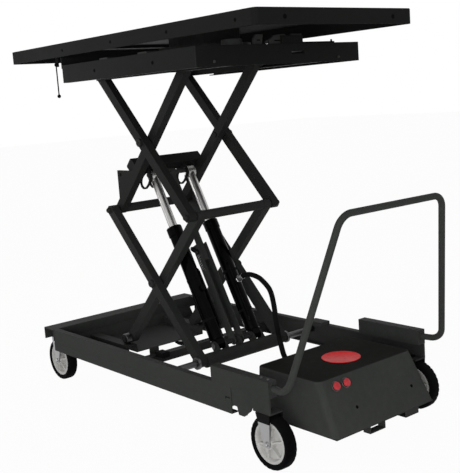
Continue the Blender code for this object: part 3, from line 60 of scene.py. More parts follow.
turn = Matrix((right, above, -ahead)).transposed()
lens = bpy.data.cameras.new("lens")
lens.sensor_fit = "HORIZONTAL"
lens.sensor_width = film_width
lens.lens = focal_pixels / photo_width * film_width
lens.clip_end = 60.0
camera = bpy.data.objects.new("camera", lens)
camera.matrix_world = Matrix.Translation(camera_place) @ turn.to_4x4()
bpy.context.scene.collection.objects.link(camera)
bpy.context.scene.camera = camera

# Hydraulic hose: rubber over wire braid, 22 mm thick, from the left ram's port in a free
# arch over the hinge axle and down to the gland in the cover.
hinge_height = 0.231
hinge = Vector((0.105611, 0.0, hinge_height))


def at(x, y, z):
    """A place on the table, measured from the middle of the lower scissor's hinge axle."""
    return hinge + Vector((x, y, z))


class Shade:
    """A socket of a material's node tree, on which arithmetic adds Math nodes."""

    def __init__(self, tree, socket=None):
        self.tree = tree
        self.socket = socket

    def node(self, kind, settings, inputs, output=0):
        made = self.tree.nodes.new(kind)
        for name, value in settings.items():
            if name != "stops":
                setattr(made, name, value)
                continue
            elements = made.color_ramp.elements
            while len(elements) < len(value):
                elements.new(0.5)
            for element, (place, grey) in zip(elements, value):
                element.position = place
                element.color = (grey, grey, grey, 1.0)
        for name, value in inputs.items():
            if isinstance(value, Shade):
                self.tree.links.new(value.socket, made.inputs[name])
            else:
                made.inputs[name].default_value = value
        return Shade(self.tree, made.outputs[output])

    def maths(self, operation, first, second, clamp=False):
        settings = {"operation": operation, "use_clamp": clamp}
        return self.node("ShaderNodeMath", settings, {0: first, 1: second})

    def __add__(self, other):
        return self.maths("ADD", self, other)

    def __radd__(self, other):
        return self.maths("ADD", other, self)

    def __sub__(self, other):
        return self.maths("SUBTRACT", self, other)

    def __rsub__(self, other):
        return self.maths("SUBTRACT", other, self)

    def __mul__(self, other):
        return self.maths("MULTIPLY", self, other)

    def __rmul__(self, other):
        return self.maths("MULTIPLY", other, self)

    def held(self):
        """The value kept between 0 and 1."""
        return self.maths("ADD", self, 0.0, clamp=True)

    def over(self, start, end):
        """0 up to start, then rising to 1 at end."""
        return ((self - start) * (1.0 / (end - start))).held()

    def noise(self, scale, detail):
        values = {"Vector": self, "Scale": scale, "Detail": detail, "Roughness": 0.5}
        return self.node("ShaderNodeTexNoise", {}, values)

    def tint(self, first, second):
        """The first colour where the value is 0, the second where it is 1."""
        return self.node("ShaderNodeMix", {"data_type": "RGBA"}, {0: self, 6: first, 7: second}, 2)

    def into(self, shader, name):
        self.tree.links.new(self.socket, shader.inputs[name])

    def raise_on(self, shader, strength, distance, soft=None):
        """A bump by the value, laid over the soft normal where there is one."""
        values = {"Strength": strength, "Distance": distance, "Height": self}
        if soft is not None:
            values["Normal"] = soft
        self.node("ShaderNodeBump", {}, values).into(shader, "Normal")


def begin(name, **constants):
    material = bpy.data.materials.new(name)
    material.use_nodes = True
    shader = material.node_tree.nodes["Principled BSDF"]
    for socket, value in constants.items():
        shader.inputs[socket.replace("_", " ")].default_value = value
    graph = Shade(material.node_tree)
    place = graph.node("ShaderNodeTexCoord", {}, {}, "Object")
    return material, shader, graph, place


def colour(red, green, blue):
    return (red, green, blue, 1.0)


def rubber(name, shade, scuff, grain_scale):
    material, shader, graph, place = begin(name, Specular_IOR_Level=0.02)
    grain = place.noise(grain_scale, 3.0)
    patches = place.noise(9.0, 2.0)
    patches.over(0.42, 0.78).tint(colour(*shade), colour(*scuff)).into(shader, "Base Color")
    (0.62 + 0.22 * patches).into(shader, "Roughness")
    grain.raise_on(shader, 0.30, 0.0004)
    return material


def smooth_route(route, spacing):
    """Points close together on one smooth curve through the places of a route."""
    points = [Vector(place) for place in route]
    padded = [2 * points[0] - points[1]] + points + [2 * points[-1] - points[-2]]
    result = []
    for before, start, end, after in zip(padded, padded[1:], padded[2:], padded[3:]):
        count = max(1, round((end - start).length / spacing))
        for step in range(count):
            t = step / count
            straight = 2 * start + (end - before) * t
            curved = (2 * before - 5 * start + 4 * end - after) * t * t
            result.append(0.5 * (straight + curved + (3 * start - before - 3 * end + after) * t ** 3))
    result.append(points[-1])
    return result


def circle(centre, radius, across, other, sides):
    angles = [2 * math.pi * step / sides for step in range(sides)]
    return [centre + radius * (math.cos(angle) * across + math.sin(angle) * other) for angle in angles]


def bridge(shape, lower, upper):
    """Faces between two rings of points, of which one may be a single point."""
    sides = max(len(lower), len(upper))
    for step in range(sides):
        after = (step + 1) % sides
        corners = [lower[step % len(lower)], lower[after % len(lower)]]
        corners += [upper[after % len(upper)], upper[step % len(upper)]]
        shape.faces.new(list(dict.fromkeys(corners)))


def tube_along(points, radius, sides):
    shape = bmesh.new()
    across = (points[1] - points[0]).normalized().orthogonal().normalized()
    rings = []
    for index, point in enumerate(points):
        before = points[max(0, index - 1)]
        after = points[min(len(points) - 1, index + 1)]
        heading = (after - before).normalized()
        across = (across - heading * across.dot(heading)).normalized()
        ring = circle(point, radius, across, heading.cross(across), sides)
        rings.append([shape.verts.new(place) for place in ring])
    for first, second in zip(rings, rings[1:]):
        bridge(shape, first, second)
    shape.faces.new(rings[0])
    shape.faces.new(rings[-1])
    return shape


def dress(name, shape, finish):
    """A smooth piece in one finish from a worked shape, creased at edges over 35 degrees."""
    mesh = bpy.data.meshes.new(name)
    bmesh.ops.recalc_face_normals(shape, faces=shape.faces)
    shape.to_mesh(mesh)
    shape.free()
    mesh.materials.append(finish)
    mesh.shade_smooth()
    mesh.set_sharp_from_angle(angle=math.radians(35.0))
    piece = bpy.data.objects.new(name, mesh)
    bpy.context.scene.collection.objects.link(piece)
    return piece


hose_radius = 0.011
hose_places = (
    (-0.1148, 0.102, 0.2840), (-0.078, 0.1010, 0.303), (-0.031, 0.0930, 0.313), (0.020, 0.0850, 0.312),
    (0.067, 0.0760, 0.302), (0.134, 0.0590, 0.270), (0.177, 0.0380, 0.215), (0.220, 0.0080, 0.145),
    (0.268, -0.0200, 0.082), (0.310, -0.0420, 0.040), (0.345, -0.0515, 0.0225), (0.3728, -0.052, 0.022),
)
hose_route = smooth_route([at(*place) for place in hose_places], 0.008)
hose_length = sum((after - before).length for before, after in zip(hose_route, hose_route[1:]))
hose_rubber = rubber("hose_rubber", (0.0045, 0.0045, 0.005), (0.010, 0.010, 0.010), 420.0)
hose = dress("hose", tube_along(hose_route, hose_radius, 24), hose_rubber)
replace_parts(hose, "lift_hose")
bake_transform(hose)


# Hose ends: a crimped ferrule of zinc plated steel over the rubber at the port and one at
# the gland. The plating is bright, with fine spangle and a duller bloom in patches.
def edges_of(graph, radius):
    """The normal rounded at edges, and a mask that is 1 where it departs from the face."""
    soft = graph.node("ShaderNodeBevel", {"samples": 4}, {"Radius": radius})
    flat = graph.node("ShaderNodeNewGeometry", {}, {}, "Normal")
    facing = graph.node("ShaderNodeVectorMath", {"operation": "DOT_PRODUCT"}, {0: soft, 1: flat}, "Value")
    return soft, ((1.0 - facing) * 5.0).held()


def plated_steel(name, tone=0.36, bloom=0.5, polish=0.24):
    material, shader, graph, place = begin(name, Metallic=1.0, Specular_IOR_Level=0.5)
    spangle = place.noise(160.0, 2.0)
    dull = place.noise(14.0, 3.0).over(0.40, 0.72) * bloom
    bright = colour(tone, tone, tone * 1.02)
    dull.tint(bright, colour(tone * 0.62, tone * 0.62, tone * 0.60)).into(shader, "Base Color")
    (polish + 0.16 * spangle + 0.22 * dull).into(shader, "Roughness")
    spangle.raise_on(shader, 0.10, 0.0002, edges_of(graph, 0.0008)[0])
    return material


def spun(profile, start, direction, sides=48, closed=False):
    """A turned form from pairs of a radius and a distance along the axis."""
    axis = Vector(direction).normalized()
    across = axis.orthogonal().normalized()
    other = axis.cross(across)
    shape = bmesh.new()
    rings = []
    for radius, distance in profile:
        ring = circle(Vector(start) + axis * distance, radius, across, other, sides if radius else 1)
        rings.append([shape.verts.new(point) for point in ring])
    pairs = list(zip(rings, rings[1:]))
    if closed:
        pairs.append((rings[-1], rings[0]))
    for lower, upper in pairs:
        bridge(shape, lower, upper)
    return shape


zinc = plated_steel("zinc_plate")
first_step = (hose_route[1] - hose_route[0]).normalized()
last_step = (hose_route[-1] - hose_route[-2]).normalized()
mouth, crimp, groove = hose_radius + 0.0004, hose_radius + 0.0022, hose_radius + 0.0014
ferrule = [
    (mouth, -0.002), (crimp, 0.0), (crimp, 0.010), (groove, 0.012), (crimp, 0.014), (crimp, 0.026),
    (mouth, 0.029),
]
port_ferrule = dress("hose_ferrule_port", spun(ferrule, hose_route[0], first_step, 32, closed=True), zinc)
gland_ferrule = dress("hose_ferrule_gland", spun(ferrule, hose_route[-1], -last_step, 32, closed=True), zinc)
for collar, body in ((port_ferrule, "barrels"), (gland_ferrule, "base")):
    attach(collar, body)


# Base frame: two rails, the end channel, the roller track and a cross member, folded from
# 5 mm sheet, welded and powder coated in satin anthracite, with fine peel, dust and
# rubbed edges. The fixed wheels' forks under the end channel are zinc plated.
def frame_paint(name, tone=0.0300, wear=0.5, polish=0.50, sheen=0.030, zinc_below=None, flat_top_shade=None):
    material, shader, graph, place = begin(name, Specular_IOR_Level=sheen)
    peel = place.noise(420.0, 2.0)
    cloud = place.noise(3.2, 4.0)
    fine = place.noise(38.0, 3.0)
    soft, edge = edges_of(graph, 0.0016)
    dusted = (0.65 * cloud + 0.35 * fine).over(0.34, 0.70)
    plain = colour(tone * 0.94, tone * 1.02, tone * 0.96)
    dusty = colour(tone * 1.32, tone * 1.38, tone * 1.28)
    base = dusted.tint(plain, dusty)
    rubbed = (edge * fine.over(0.38, 0.66)) * wear
    base = rubbed.tint(base, colour(tone * 2.6, tone * 2.6, tone * 2.5))
    rough = polish + 0.14 * dusted - 0.08 * rubbed
    # Painted shade: where a tone is given, faces that lie flat are darkened to it, so tops render darker
    # than sides.
    if flat_top_shade is not None:
        flat = graph.node("ShaderNodeNewGeometry", {}, {}, "True Normal")
        flat_top_shade_mask = graph.node("ShaderNodeSeparateXYZ", {}, {0: flat}, "Z").over(0.80, 0.98)
        base = flat_top_shade_mask.tint(base, colour(flat_top_shade, flat_top_shade * 1.06, flat_top_shade * 0.90))
    if zinc_below is not None:
        height = graph.node("ShaderNodeSeparateXYZ", {}, {0: place}, "Z")
        plated = (zinc_below - height).over(0.0, 0.0006)
        base = plated.tint(base, colour(0.34, 0.34, 0.345))
        rough = rough - plated * 0.16
        (plated * 0.95).into(shader, "Metallic")
    base.into(shader, "Base Color")
    rough.into(shader, "Roughness")
    (0.7 * peel + 0.3 * fine).raise_on(shader, 0.14, 0.0003, soft)
    return material


def finish_node(finish, *nodes):
    """Gives solids that come with the frame their finish."""
    for node in nodes:
        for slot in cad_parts[node].material_slots:
            slot.material = finish


fixed_fork_top = -0.0172
rail_paint = frame_paint("rail_paint")
end_paint = frame_paint("end_channel_paint", zinc_below=hinge.z + fixed_fork_top)
finish_node(rail_paint, "base_rail_left", "base_rail_right", "roller_track", "cross_member")
finish_node(end_paint, "end_channel")


# Sheets that close the frame: an apron from the end channel down to the roller track, and
# a stepped skirt with two flanges on each side, from the rail's end to the leg over the
# caster. They are folded from sheet, welded on and painted with the rails.
def flat_plate(outline, start, end, along="Y"):
    """A plate with an outline across X or Y, from start to end along that axis."""
    def place(depth, across, height):
        return at(across, depth, height) if along == "Y" else at(depth, across, height)

    shape = bmesh.new()
    first = [shape.verts.new(place(start, across, height)) for across, height in outline]
    last = [shape.verts.new(place(end, across, height)) for across, height in outline]
    shape.faces.new(first)
    shape.faces.new(last)
    for index in range(len(outline)):
        after = (index + 1) % len(outline)
        shape.faces.new((first[index], first[after], last[after], last[index]))
    return shape


def block(low, high, side=1):
    """A block from its low to its high corner, on the other side of the table for -1."""
    start, end = sorted((side * low[1], side * high[1]))
    outline = [(low[0], low[2]), (high[0], low[2]), (high[0], high[2]), (low[0], high[2])]
    return flat_plate(outline, start, end)


def joined(*shapes):
    result = bmesh.new()
    for shape in shapes:
        spare = bpy.data.meshes.new("spare")
        shape.to_mesh(spare)
        shape.free()
        result.from_mesh(spare)
        bpy.data.meshes.remove(spare)
    return result


def add(name, shape, finish, body, rounding=0.0):
    """A dressed piece that rides on a body, with its edges rounded where asked."""
    piece = dress(name, shape, finish)
    if rounding:
        softer = piece.modifiers.new("rounded", "BEVEL")
        softer.width = rounding
        softer.segments = 2
        softer.limit_method = "ANGLE"
        softer.angle_limit = math.radians(40)
    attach(piece, body)
    return piece


both_sides = ((1, "left"), (-1, "right"))
apron_half = 0.3935
apron_outline = [
    (-0.9097, -0.0080), (-0.9070, -0.0080), (-0.9070, -0.0180), (-0.8810, -0.0595), (-0.8800, -0.0637),
    (-0.8842, -0.0637), (-0.9097, -0.0200),
]
add("track_apron", flat_plate(apron_outline, -apron_half, apron_half), rail_paint, "base")
skirt_start, skirt_end, skirt_top, skirt_foot = 0.4345, 0.5655, 0.0385, -0.0600
skirt_inside, skirt_outside = 0.4205, 0.4255
skirt_outline = [
    (skirt_start, skirt_top), (skirt_end, skirt_top), (skirt_end, -0.0165), (0.5460, -0.0165),
    (0.5400, -0.0300), (0.5000, skirt_foot), (0.4700, skirt_foot), (0.4620, -0.0300), (skirt_start, -0.0300),
]
for side, hand in both_sides:
    skirt = joined(
        flat_plate(skirt_outline, side * skirt_inside, side * skirt_outside),
        block((skirt_start, 0.3950, 0.0345), (skirt_end, 0.4200, skirt_top), side),
        block((0.4700, 0.4060, skirt_foot), (0.4980, 0.4200, -0.0560), side),
    )
    add(f"caster_skirt_{hand}", skirt, rail_paint, "base", rounding=0.0008)

# Rail slots: a short hooked slot at each rail's end, where the lifting strap hooks in. It
# is punched through the painted sheet; here it is a thin black inlay, a painted shade for
# its dark inside. The same black paints other holes' insides and real black parts.
shade_and_black_paint = frame_paint("painted_shade_and_black", tone=0.0015, wear=0.0, polish=0.7)
rail_side, slot_face = 0.4290, 0.4293
for side, hand in both_sides:
    slot = joined(
        block((0.4020, rail_side, -0.0060), (0.4290, slot_face, -0.0030), side),
        block((0.4020, rail_side, -0.0120), (0.4045, slot_face, -0.0030), side),
    )
    add(f"rail_slot_{hand}", slot, shade_and_black_paint, "base")

# Switch bracket: an angle folded from 4 mm sheet beside the near roller, painted with the
# rails and held by two hexagon screws in dull zinc plate.
bolt_steel = plated_steel("bolt_steel", tone=0.09, bloom=0.7, polish=0.36)


def hex_shape(start, direction, across_flats, height):
    reach = across_flats / math.sqrt(3.0)
    profile = [(0.0, 0.0), (reach, 0.0), (reach, height * 0.85), (reach * 0.90, height), (0.0, height)]
    return spun(profile, start, direction, 6)


def bolts(name, places, direction, size, finish, body):
    """Hexagon heads on washers, at the places given. The size is a washer's radius."""
    washer = [(0.0, 0.0), (size, 0.0), (size, size * 0.12), (size * 0.95, size * 0.16), (0.0, size * 0.16)]
    shapes = []
    for place in places:
        shapes.append(spun(washer, place, direction, 24))
        shapes.append(hex_shape(place + Vector(direction) * size * 0.14, direction, size * 1.5, size * 0.62))
    add(name, joined(*shapes), finish, body)


bracket_face = -0.4860
switch_plate = joined(
    block((-0.4900, -0.3950, -0.0580), (bracket_face, -0.3500, 0.0150)),
    block((bracket_face, -0.3950, -0.0580), (-0.4300, -0.3910, 0.0150)),
)
add("switch_bracket", switch_plate, rail_paint, "base", rounding=0.0008)
switch_bolts = [at(bracket_face + 0.0005, -0.3640, 0.0050), at(bracket_face + 0.0005, -0.3790, -0.0120)]
bolts("switch_bracket_bolts", switch_bolts, (1, 0, 0), 0.0055, bolt_steel, "base")

# Stop block and limit switch: a painted steel block welded on the far rail, and on the
# cross member a folded angle with a switch in a case of moulded black plastic.
add("rail_stop_block", block((0.0300, 0.3660, 0.0395), (0.1180, 0.4200, 0.0560)), rail_paint, "base",
    rounding=0.0012)
cross_top = -0.0226
limit_bracket = joined(
    block((-0.3440, -0.2580, cross_top), (-0.3400, -0.2080, 0.0050)),
    block((-0.3440, -0.2580, cross_top), (-0.3000, -0.2080, cross_top + 0.0030)),
)
add("limit_switch_bracket", limit_bracket, rail_paint, "base", rounding=0.0008)
limit_case = block((-0.2960, -0.2600, cross_top), (-0.2400, -0.2200, 0.0020))
moulded = rubber("moulded_black", (0.006, 0.006, 0.006), (0.012, 0.012, 0.012), 260.0)
add("limit_switch", limit_case, moulded, "base", rounding=0.002)

# Frame welds: beads laid by hand up the rails' ends and along the cross member's ends,
# painted over with the frame. A bead is a row of drops of uneven size.
weld_paint = frame_paint("weld_paint", tone=0.0240, wear=0.8, polish=0.44)
drop_spacing = 0.004


def weld(name, start, end, body, radius=0.0026):
    count = max(6, round((end - start).length / drop_spacing))
    shape = bmesh.new()
    for index in range(count):
        centre = start + (end - start) * ((index + 0.5) / count)
        drop = radius * (0.85 + 0.25 * ((index * 37) % 10) / 10)
        matrix = Matrix.Translation(centre) @ Matrix.Diagonal((drop, drop, drop, 1.0))
        bmesh.ops.create_icosphere(shape, subdivisions=1, radius=1.0, matrix=matrix)
    add(name, shape, weld_paint, body)


for side, hand in both_sides:
    rail_y, cross_y = side * 0.4285, side * 0.4225
    weld(f"rail_weld_{hand}", at(-0.9095, rail_y, -0.0160), at(-0.9095, rail_y, 0.0380), "base", 0.0016)
    weld(f"cross_weld_{hand}", at(-0.3480, cross_y, -0.0215), at(-0.2980, cross_y, -0.0215), "base")

# Hinge axle and hinge tube: a turned steel axle in dull plate with a collar at each end,
# and on it the painted tube that carries the rams' welded ears. A thin turned sleeve
# lies round the tube between the arms.
finish_node(bolt_steel, "hinge_axle")
tube_paint = frame_paint("hinge_tube_paint", tone=0.0230)
finish_node(tube_paint, "hinge_tube")
sleeve = [(0.0288, -0.2080), (0.0292, -0.2075), (0.0292, 0.2075), (0.0288, 0.2080)]
add("hinge_sleeve", spun(sleeve, at(0, 0, 0), (0, 1, 0), 64), tube_paint, "base")
collar = [(0.0146, 0.0), (0.0250, 0.0), (0.0260, 0.001), (0.0260, 0.011), (0.0250, 0.012), (0.0146, 0.012)]
collar_y = 0.2460
ram_y = 0.102
ear_half = 0.024
for side, hand in both_sides:
    shape = spun(collar, at(0, side * collar_y, 0), (0, side, 0), 40, closed=True)
    add(f"axle_collar_{hand}", shape, bolt_steel, "base")
    for offset, edge in ((-ear_half, "in"), (ear_half, "out")):
        y = side * ram_y + offset
        weld(f"ear_weld_{hand}_{edge}", at(-0.012, y, 0.0275), at(0.012, y, 0.0275), "base", 0.0022)

# Scissor arms: eight flat bars with welded pins, powder coated like the frame but darker,
# and the upper arms darker still: painted shade, darker the higher the part. They stand
# at 46.2 degrees, which gives the places of all the pins above the axle.
arm_length = 0.850
arm_angle = math.radians(46.2)
spread = arm_length * math.cos(arm_angle)
rise = arm_length * math.sin(arm_angle)
arm_paint = frame_paint("lower_arm_paint", tone=0.0190, wear=0.7)
upper_arm_shaded_paint = frame_paint("upper_arm_shaded_paint", tone=0.0120, wear=0.6)
for hand in ("left", "right"):
    finish_node(arm_paint,f"lower_outer_arm_{hand}", f"lower_inner_arm_{hand}")
    finish_node(upper_arm_shaded_paint, f"upper_outer_arm_{hand}", f"upper_inner_arm_{hand}")

# Tie tubes between the lower and the upper scissor: a steel tube with a turned pin welded
# in each end, on which the arms swing, painted with the lower arms.
mid_left = (-spread, rise)
mid_right = (0.0, rise)
pin_radius, tie_radius, shoulder_y, pin_tip = 0.0121, 0.0197, 0.16315, 0.2569
tie_profile = [
    (0.0, -pin_tip), (0.0095, -pin_tip), (pin_radius, -0.2550), (pin_radius, -shoulder_y),
    (0.0190, -shoulder_y), (tie_radius, -0.1625), (tie_radius, 0.1625), (0.0190, shoulder_y),
    (pin_radius, shoulder_y), (pin_radius, 0.2550), (0.0095, pin_tip), (0.0, pin_tip),
]
for name, (x, z), body in (("mid_left", mid_left, "lower_outer"), ("mid_right", mid_right, "lower_inner")):
    tie = add(f"tie_{name}", spun(tie_profile, at(x, 0, z), (0, 1, 0), 56), arm_paint, body)
    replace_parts(tie, f"tie_tube_{name}")

# Pin ends: the turned face of each pin outside the arms, with a raised rim, a recess and
# a grease nipple in its middle. It is painted over, and rubbed paler at the rim.
pin_paint = frame_paint("pin_paint", tone=0.0210, wear=0.9, polish=0.44)


def pin_end(name, x, z, side, face, radius, body):
    """Rim and nipple on a pin at (x, z), whose end face lies a distance off the middle."""
    rim = [(0.0, 0.0), (radius, 0.0), (radius, 0.0016), (radius * 0.93, 0.0026), (radius * 0.55, 0.0026)]
    rim += [(radius * 0.50, 0.0012), (0.0, 0.0012)]
    nipple = [(0.0, 0.0), (0.0030, 0.0), (0.0030, 0.0030), (0.0016, 0.0045), (0.0022, 0.0065), (0.0, 0.0075)]
    shapes = [
        spun(rim, at(x, side * face, z), (0, side, 0), 40),
        spun(nipple, at(x, side * (face + 0.0010), z), (0, side, 0), 16),
    ]
    add(name, joined(*shapes), pin_paint, body)


centre_face, centre_radius = 0.2530, 0.0172
tie_face, tie_end_radius = 0.2566, 0.0100
for side, hand in both_sides:
    for level_name, z in (("lower", rise / 2), ("upper", 1.5 * rise)):
        name, body = f"{level_name}_pin_end_{hand}", f"{level_name}_outer"
        pin_end(name, -spread / 2, z, side, centre_face, centre_radius, body)
    pin_end(f"mid_left_end_{hand}", *mid_left, side, tie_face, tie_end_radius, "lower_outer")
    pin_end(f"mid_right_end_{hand}", *mid_right, side, tie_face, tie_end_radius, "lower_inner")

# Rollers: turned steel with rounded rims and a greased bore, in a dark oily finish. Two
# run on the track below and two in the bearers above, on the arms' own pins.
roller_steel = plated_steel("roller_steel", tone=0.075, bloom=0.8, polish=0.30)
roller_profile = [
    (0.0106, 0.0), (0.0230, 0.0), (0.0250, 0.002), (0.0250, 0.026), (0.0230, 0.028), (0.0106, 0.028),
]
roller_y = 0.20245
for side, hand in both_sides:
    for level_name, x, z in (("lower", -spread, 0.0), ("upper", 0.0, 2 * rise)):
        body = f"{level_name}_roller_{hand}"
        shape = spun(roller_profile, at(x, side * roller_y, z), (0, side, 0), 48, closed=True)
        roller = add(f"{level_name}_track_roller_{hand}", shape, roller_steel, body)
        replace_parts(roller, body)

# Rams: gloss black barrels, each with a gland turned with two grooves and a rubber wiper
# seal in its mouth, and hard chromed rods that slide in them. Their feet swing on pins
# in the hinge tube's ears.
foot = Vector((-0.034, 0.0, 0.040))
ram_axis = Vector((-0.475409, 0.0, 0.879765))
ram_side = Vector((ram_axis.z, 0.0, -ram_axis.x))
ram_length = 0.82456
barrel_length = 0.560


def on_ram(along, side_way, y):
    """A place along a ram's axis from its foot, and off the axis to the axle's side."""
    place = foot + ram_axis * along + ram_side * side_way
    return at(place.x, y, place.z)


def gloss_black(name):
    material, shader, graph, place = begin(name, Specular_IOR_Level=0.035)
    cloud = place.noise(22.0, 3.0)
    peel = place.noise(240.0, 2.0)
    deep, grey = colour(0.0006, 0.0006, 0.0009), colour(0.0014, 0.0014, 0.0016)
    cloud.over(0.35, 0.75).tint(deep, grey).into(shader, "Base Color")
    (0.14 + 0.12 * cloud.over(0.3, 0.8)).into(shader, "Roughness")
    peel.raise_on(shader, 0.07, 0.0003, edges_of(graph, 0.0012)[0])
    return material


def hard_chrome(name):
    material, shader, graph, place = begin(name, Metallic=1.0)
    lines = graph.node("ShaderNodeMapping", {}, {0: place, "Scale": (1.0, 1.0, 14.0)}).noise(55.0, 2.0)
    film = place.noise(12.0, 3.0)
    bright, oily = colour(0.46, 0.455, 0.445), colour(0.34, 0.335, 0.325)
    film.over(0.38, 0.80).tint(bright, oily).into(shader, "Base Color")
    (0.24 + 0.12 * film + 0.06 * lines).into(shader, "Roughness")
    lines.raise_on(shader, 0.04, 0.0001)
    return material


barrel_black = gloss_black("barrel_black")
chrome = hard_chrome("hard_chrome")
tube_radius, gland_radius, groove_radius, rod_radius = 0.0318, 0.0348, 0.0336, 0.01915
gland = [
    (tube_radius, -0.044), (gland_radius, -0.041), (gland_radius, -0.033), (groove_radius, -0.032),
    (groove_radius, -0.030), (gland_radius, -0.029), (gland_radius, -0.014), (groove_radius, -0.013),
    (groove_radius, -0.011), (gland_radius, -0.010), (gland_radius, -0.003), (0.0321, 0.0), (0.0204, 0.0004),
]
barrel = [(0.0316, 0.0270)] + [(radius, barrel_length + along) for radius, along in gland]
wiper = [(0.0193, -0.0060), (0.0203, -0.0060), (0.0203, -0.0004), (0.0196, 0.0004)]
rod = [
    (rod_radius, barrel_length - 0.060), (rod_radius, ram_length - 0.012), (0.0180, ram_length - 0.0085),
    (0.0, ram_length - 0.0085),
]
for side, hand in both_sides:
    start = on_ram(0.0, 0.0, side * ram_y)
    finish_node(barrel_black, f"ram_barrel_{hand}")
    finish_node(chrome, f"ram_rod_{hand}")
    add(f"barrel_tube_{hand}", spun(barrel, start, ram_axis, 72), barrel_black, "barrels")
    seal = spun(wiper, on_ram(barrel_length, 0.0, side * ram_y), ram_axis, 48, closed=True)
    add(f"wiper_seal_{hand}", seal, hose_rubber, "barrels")
    add(f"rod_skin_{hand}", spun(rod, start, ram_axis, 64), chrome, "rods")

# Oil pipes: a thin steel pipe bent along each barrel in the same black, under two clips
# of dull black plastic. The caps on the feet's pins and the nut at the hose's port are
# zinc plated.
clip_black = rubber("clip_black", (0.0030, 0.0030, 0.0032), (0.0080, 0.0080, 0.0080), 300.0)
pipe_radius = 0.0042
pipe_places = ((0.062, 0.0245), (0.075, 0.0300), (0.200, 0.0305), (0.330, 0.0300), (0.344, 0.0245))
clip = [(0.0318, 0.0), (0.0326, 0.0), (0.0326, 0.012), (0.0318, 0.012)]
foot_cap = [(0.0, 0.0), (0.0125, 0.0), (0.0125, 0.003), (0.0, 0.0035)]
for side, hand in both_sides:
    pipe_y = side * (ram_y - 0.0200)
    pipe_route = smooth_route([on_ram(along, side_way, pipe_y) for along, side_way in pipe_places], 0.012)
    pipe = tube_along(pipe_route, pipe_radius, 12)
    add(f"oil_pipe_{hand}", pipe, barrel_black, "barrels")
    for number, along in enumerate((0.110, 0.300)):
        shape = spun(clip, on_ram(along, 0.0, side * ram_y), ram_axis, 48, closed=True)
        add(f"pipe_clip_{hand}_{number}", shape, clip_black, "barrels")
    cap = spun(foot_cap, at(foot.x, side * (ram_y + 0.0298), foot.z), (0, side, 0), 32)
    add(f"foot_pin_cap_{hand}", cap, bolt_steel, "base")
port_nut = hex_shape(on_ram(0.253, 0.0330, ram_y), ram_side, 0.030, 0.0100)
add("port_nut", port_nut, zinc, "barrels")

# Safety prop: a channel folded from sheet and the flat bar that drops into it, both in
# frame paint, with a moulded black pawl on its side that a plated coil spring pulls in,
# and two screws beside it.
prop_paint = frame_paint("prop_paint", tone=0.0290, wear=0.6)
finish_node(prop_paint, "prop_channel", "prop_bar")
finish_node(moulded, "prop_pawl")
spring_start, spring_length, spring_y = 0.340, 0.070, -0.0330
coil_radius, wire_radius = 0.0050, 0.0009
turns, steps_a_turn = 7, 12
spring_points = []
for step in range(turns * steps_a_turn + 1):
    angle = 2 * math.pi * step / steps_a_turn
    centre = on_ram(spring_start + spring_length * step / (turns * steps_a_turn), 0.0, spring_y)
    around = math.cos(angle) * ram_side + math.sin(angle) * Vector((0, 1, 0))
    spring_points.append(centre + coil_radius * around)
add("pawl_spring", tube_along(spring_points, wire_radius, 8), zinc, "barrels")
prop_bolts = [on_ram(along, 0.0042, -0.0253) for along in (0.405, 0.335)]
bolts("prop_screws", prop_bolts, (0, -1, 0), 0.0050, bolt_steel, "barrels")

# Lift beam: a square tube welded between the upper inner arms, capped at its ends, with
# slotted ears for the rams' cross pins. Its paint is darker than the arms', a painted shade
# that darkens the parts the higher they stand.
beam_shaded_paint = frame_paint("beam_shaded_paint", tone=0.0100)
finish_node(beam_shaded_paint, "lift_beam")

# Platform frame: two channels folded from sheet and bolted to end plates, with the arms'
# bearers inside, painted near black: painted shade that darkens the parts the higher they
# stand. Each side has two plugged holes, and its corner to the right end plate is welded.
platform_shaded_paint = frame_paint("platform_shaded_paint", tone=0.0075, wear=0.7)
platform_nodes = ["platform_side_left", "platform_side_right", "platform_end_left", "platform_end_right"]
finish_node(platform_shaded_paint, *platform_nodes, "platform_bearer_left", "platform_bearer_right")
frame_left, frame_right = -spread - 0.003, -spread + 0.9575
frame_low = 2 * rise - 0.0313
frame_high = frame_low + 0.0751
frame_side = 0.4201
plug = [(0.0, 0.0), (0.0062, 0.0), (0.0070, 0.0006), (0.0050, 0.0008), (0.0044, -0.0012), (0.0, -0.0012)]
for side, hand in both_sides:
    places = [at(x, side * frame_side, frame_low + 0.036) for x in (frame_left + 0.27, frame_right - 0.27)]
    plugs = [spun(plug, place, (0, side, 0), 28) for place in places]
    add(f"platform_side_plugs_{hand}", joined(*plugs), shade_and_black_paint, "platform")
    x, y = frame_right - 0.0054, side * (frame_side - 0.0005)
    start, end = at(x, y, frame_low + 0.002), at(x, y, frame_high - 0.002)
    weld(f"platform_corner_weld_{hand}", start, end, "platform", 0.0013)
end_bolts = [at(frame_right, y, frame_low + 0.018) for y in (-0.340, 0.300)]
bolts("platform_end_bolts", end_bolts, (1, 0, 0), 0.0060, rail_paint, "platform")

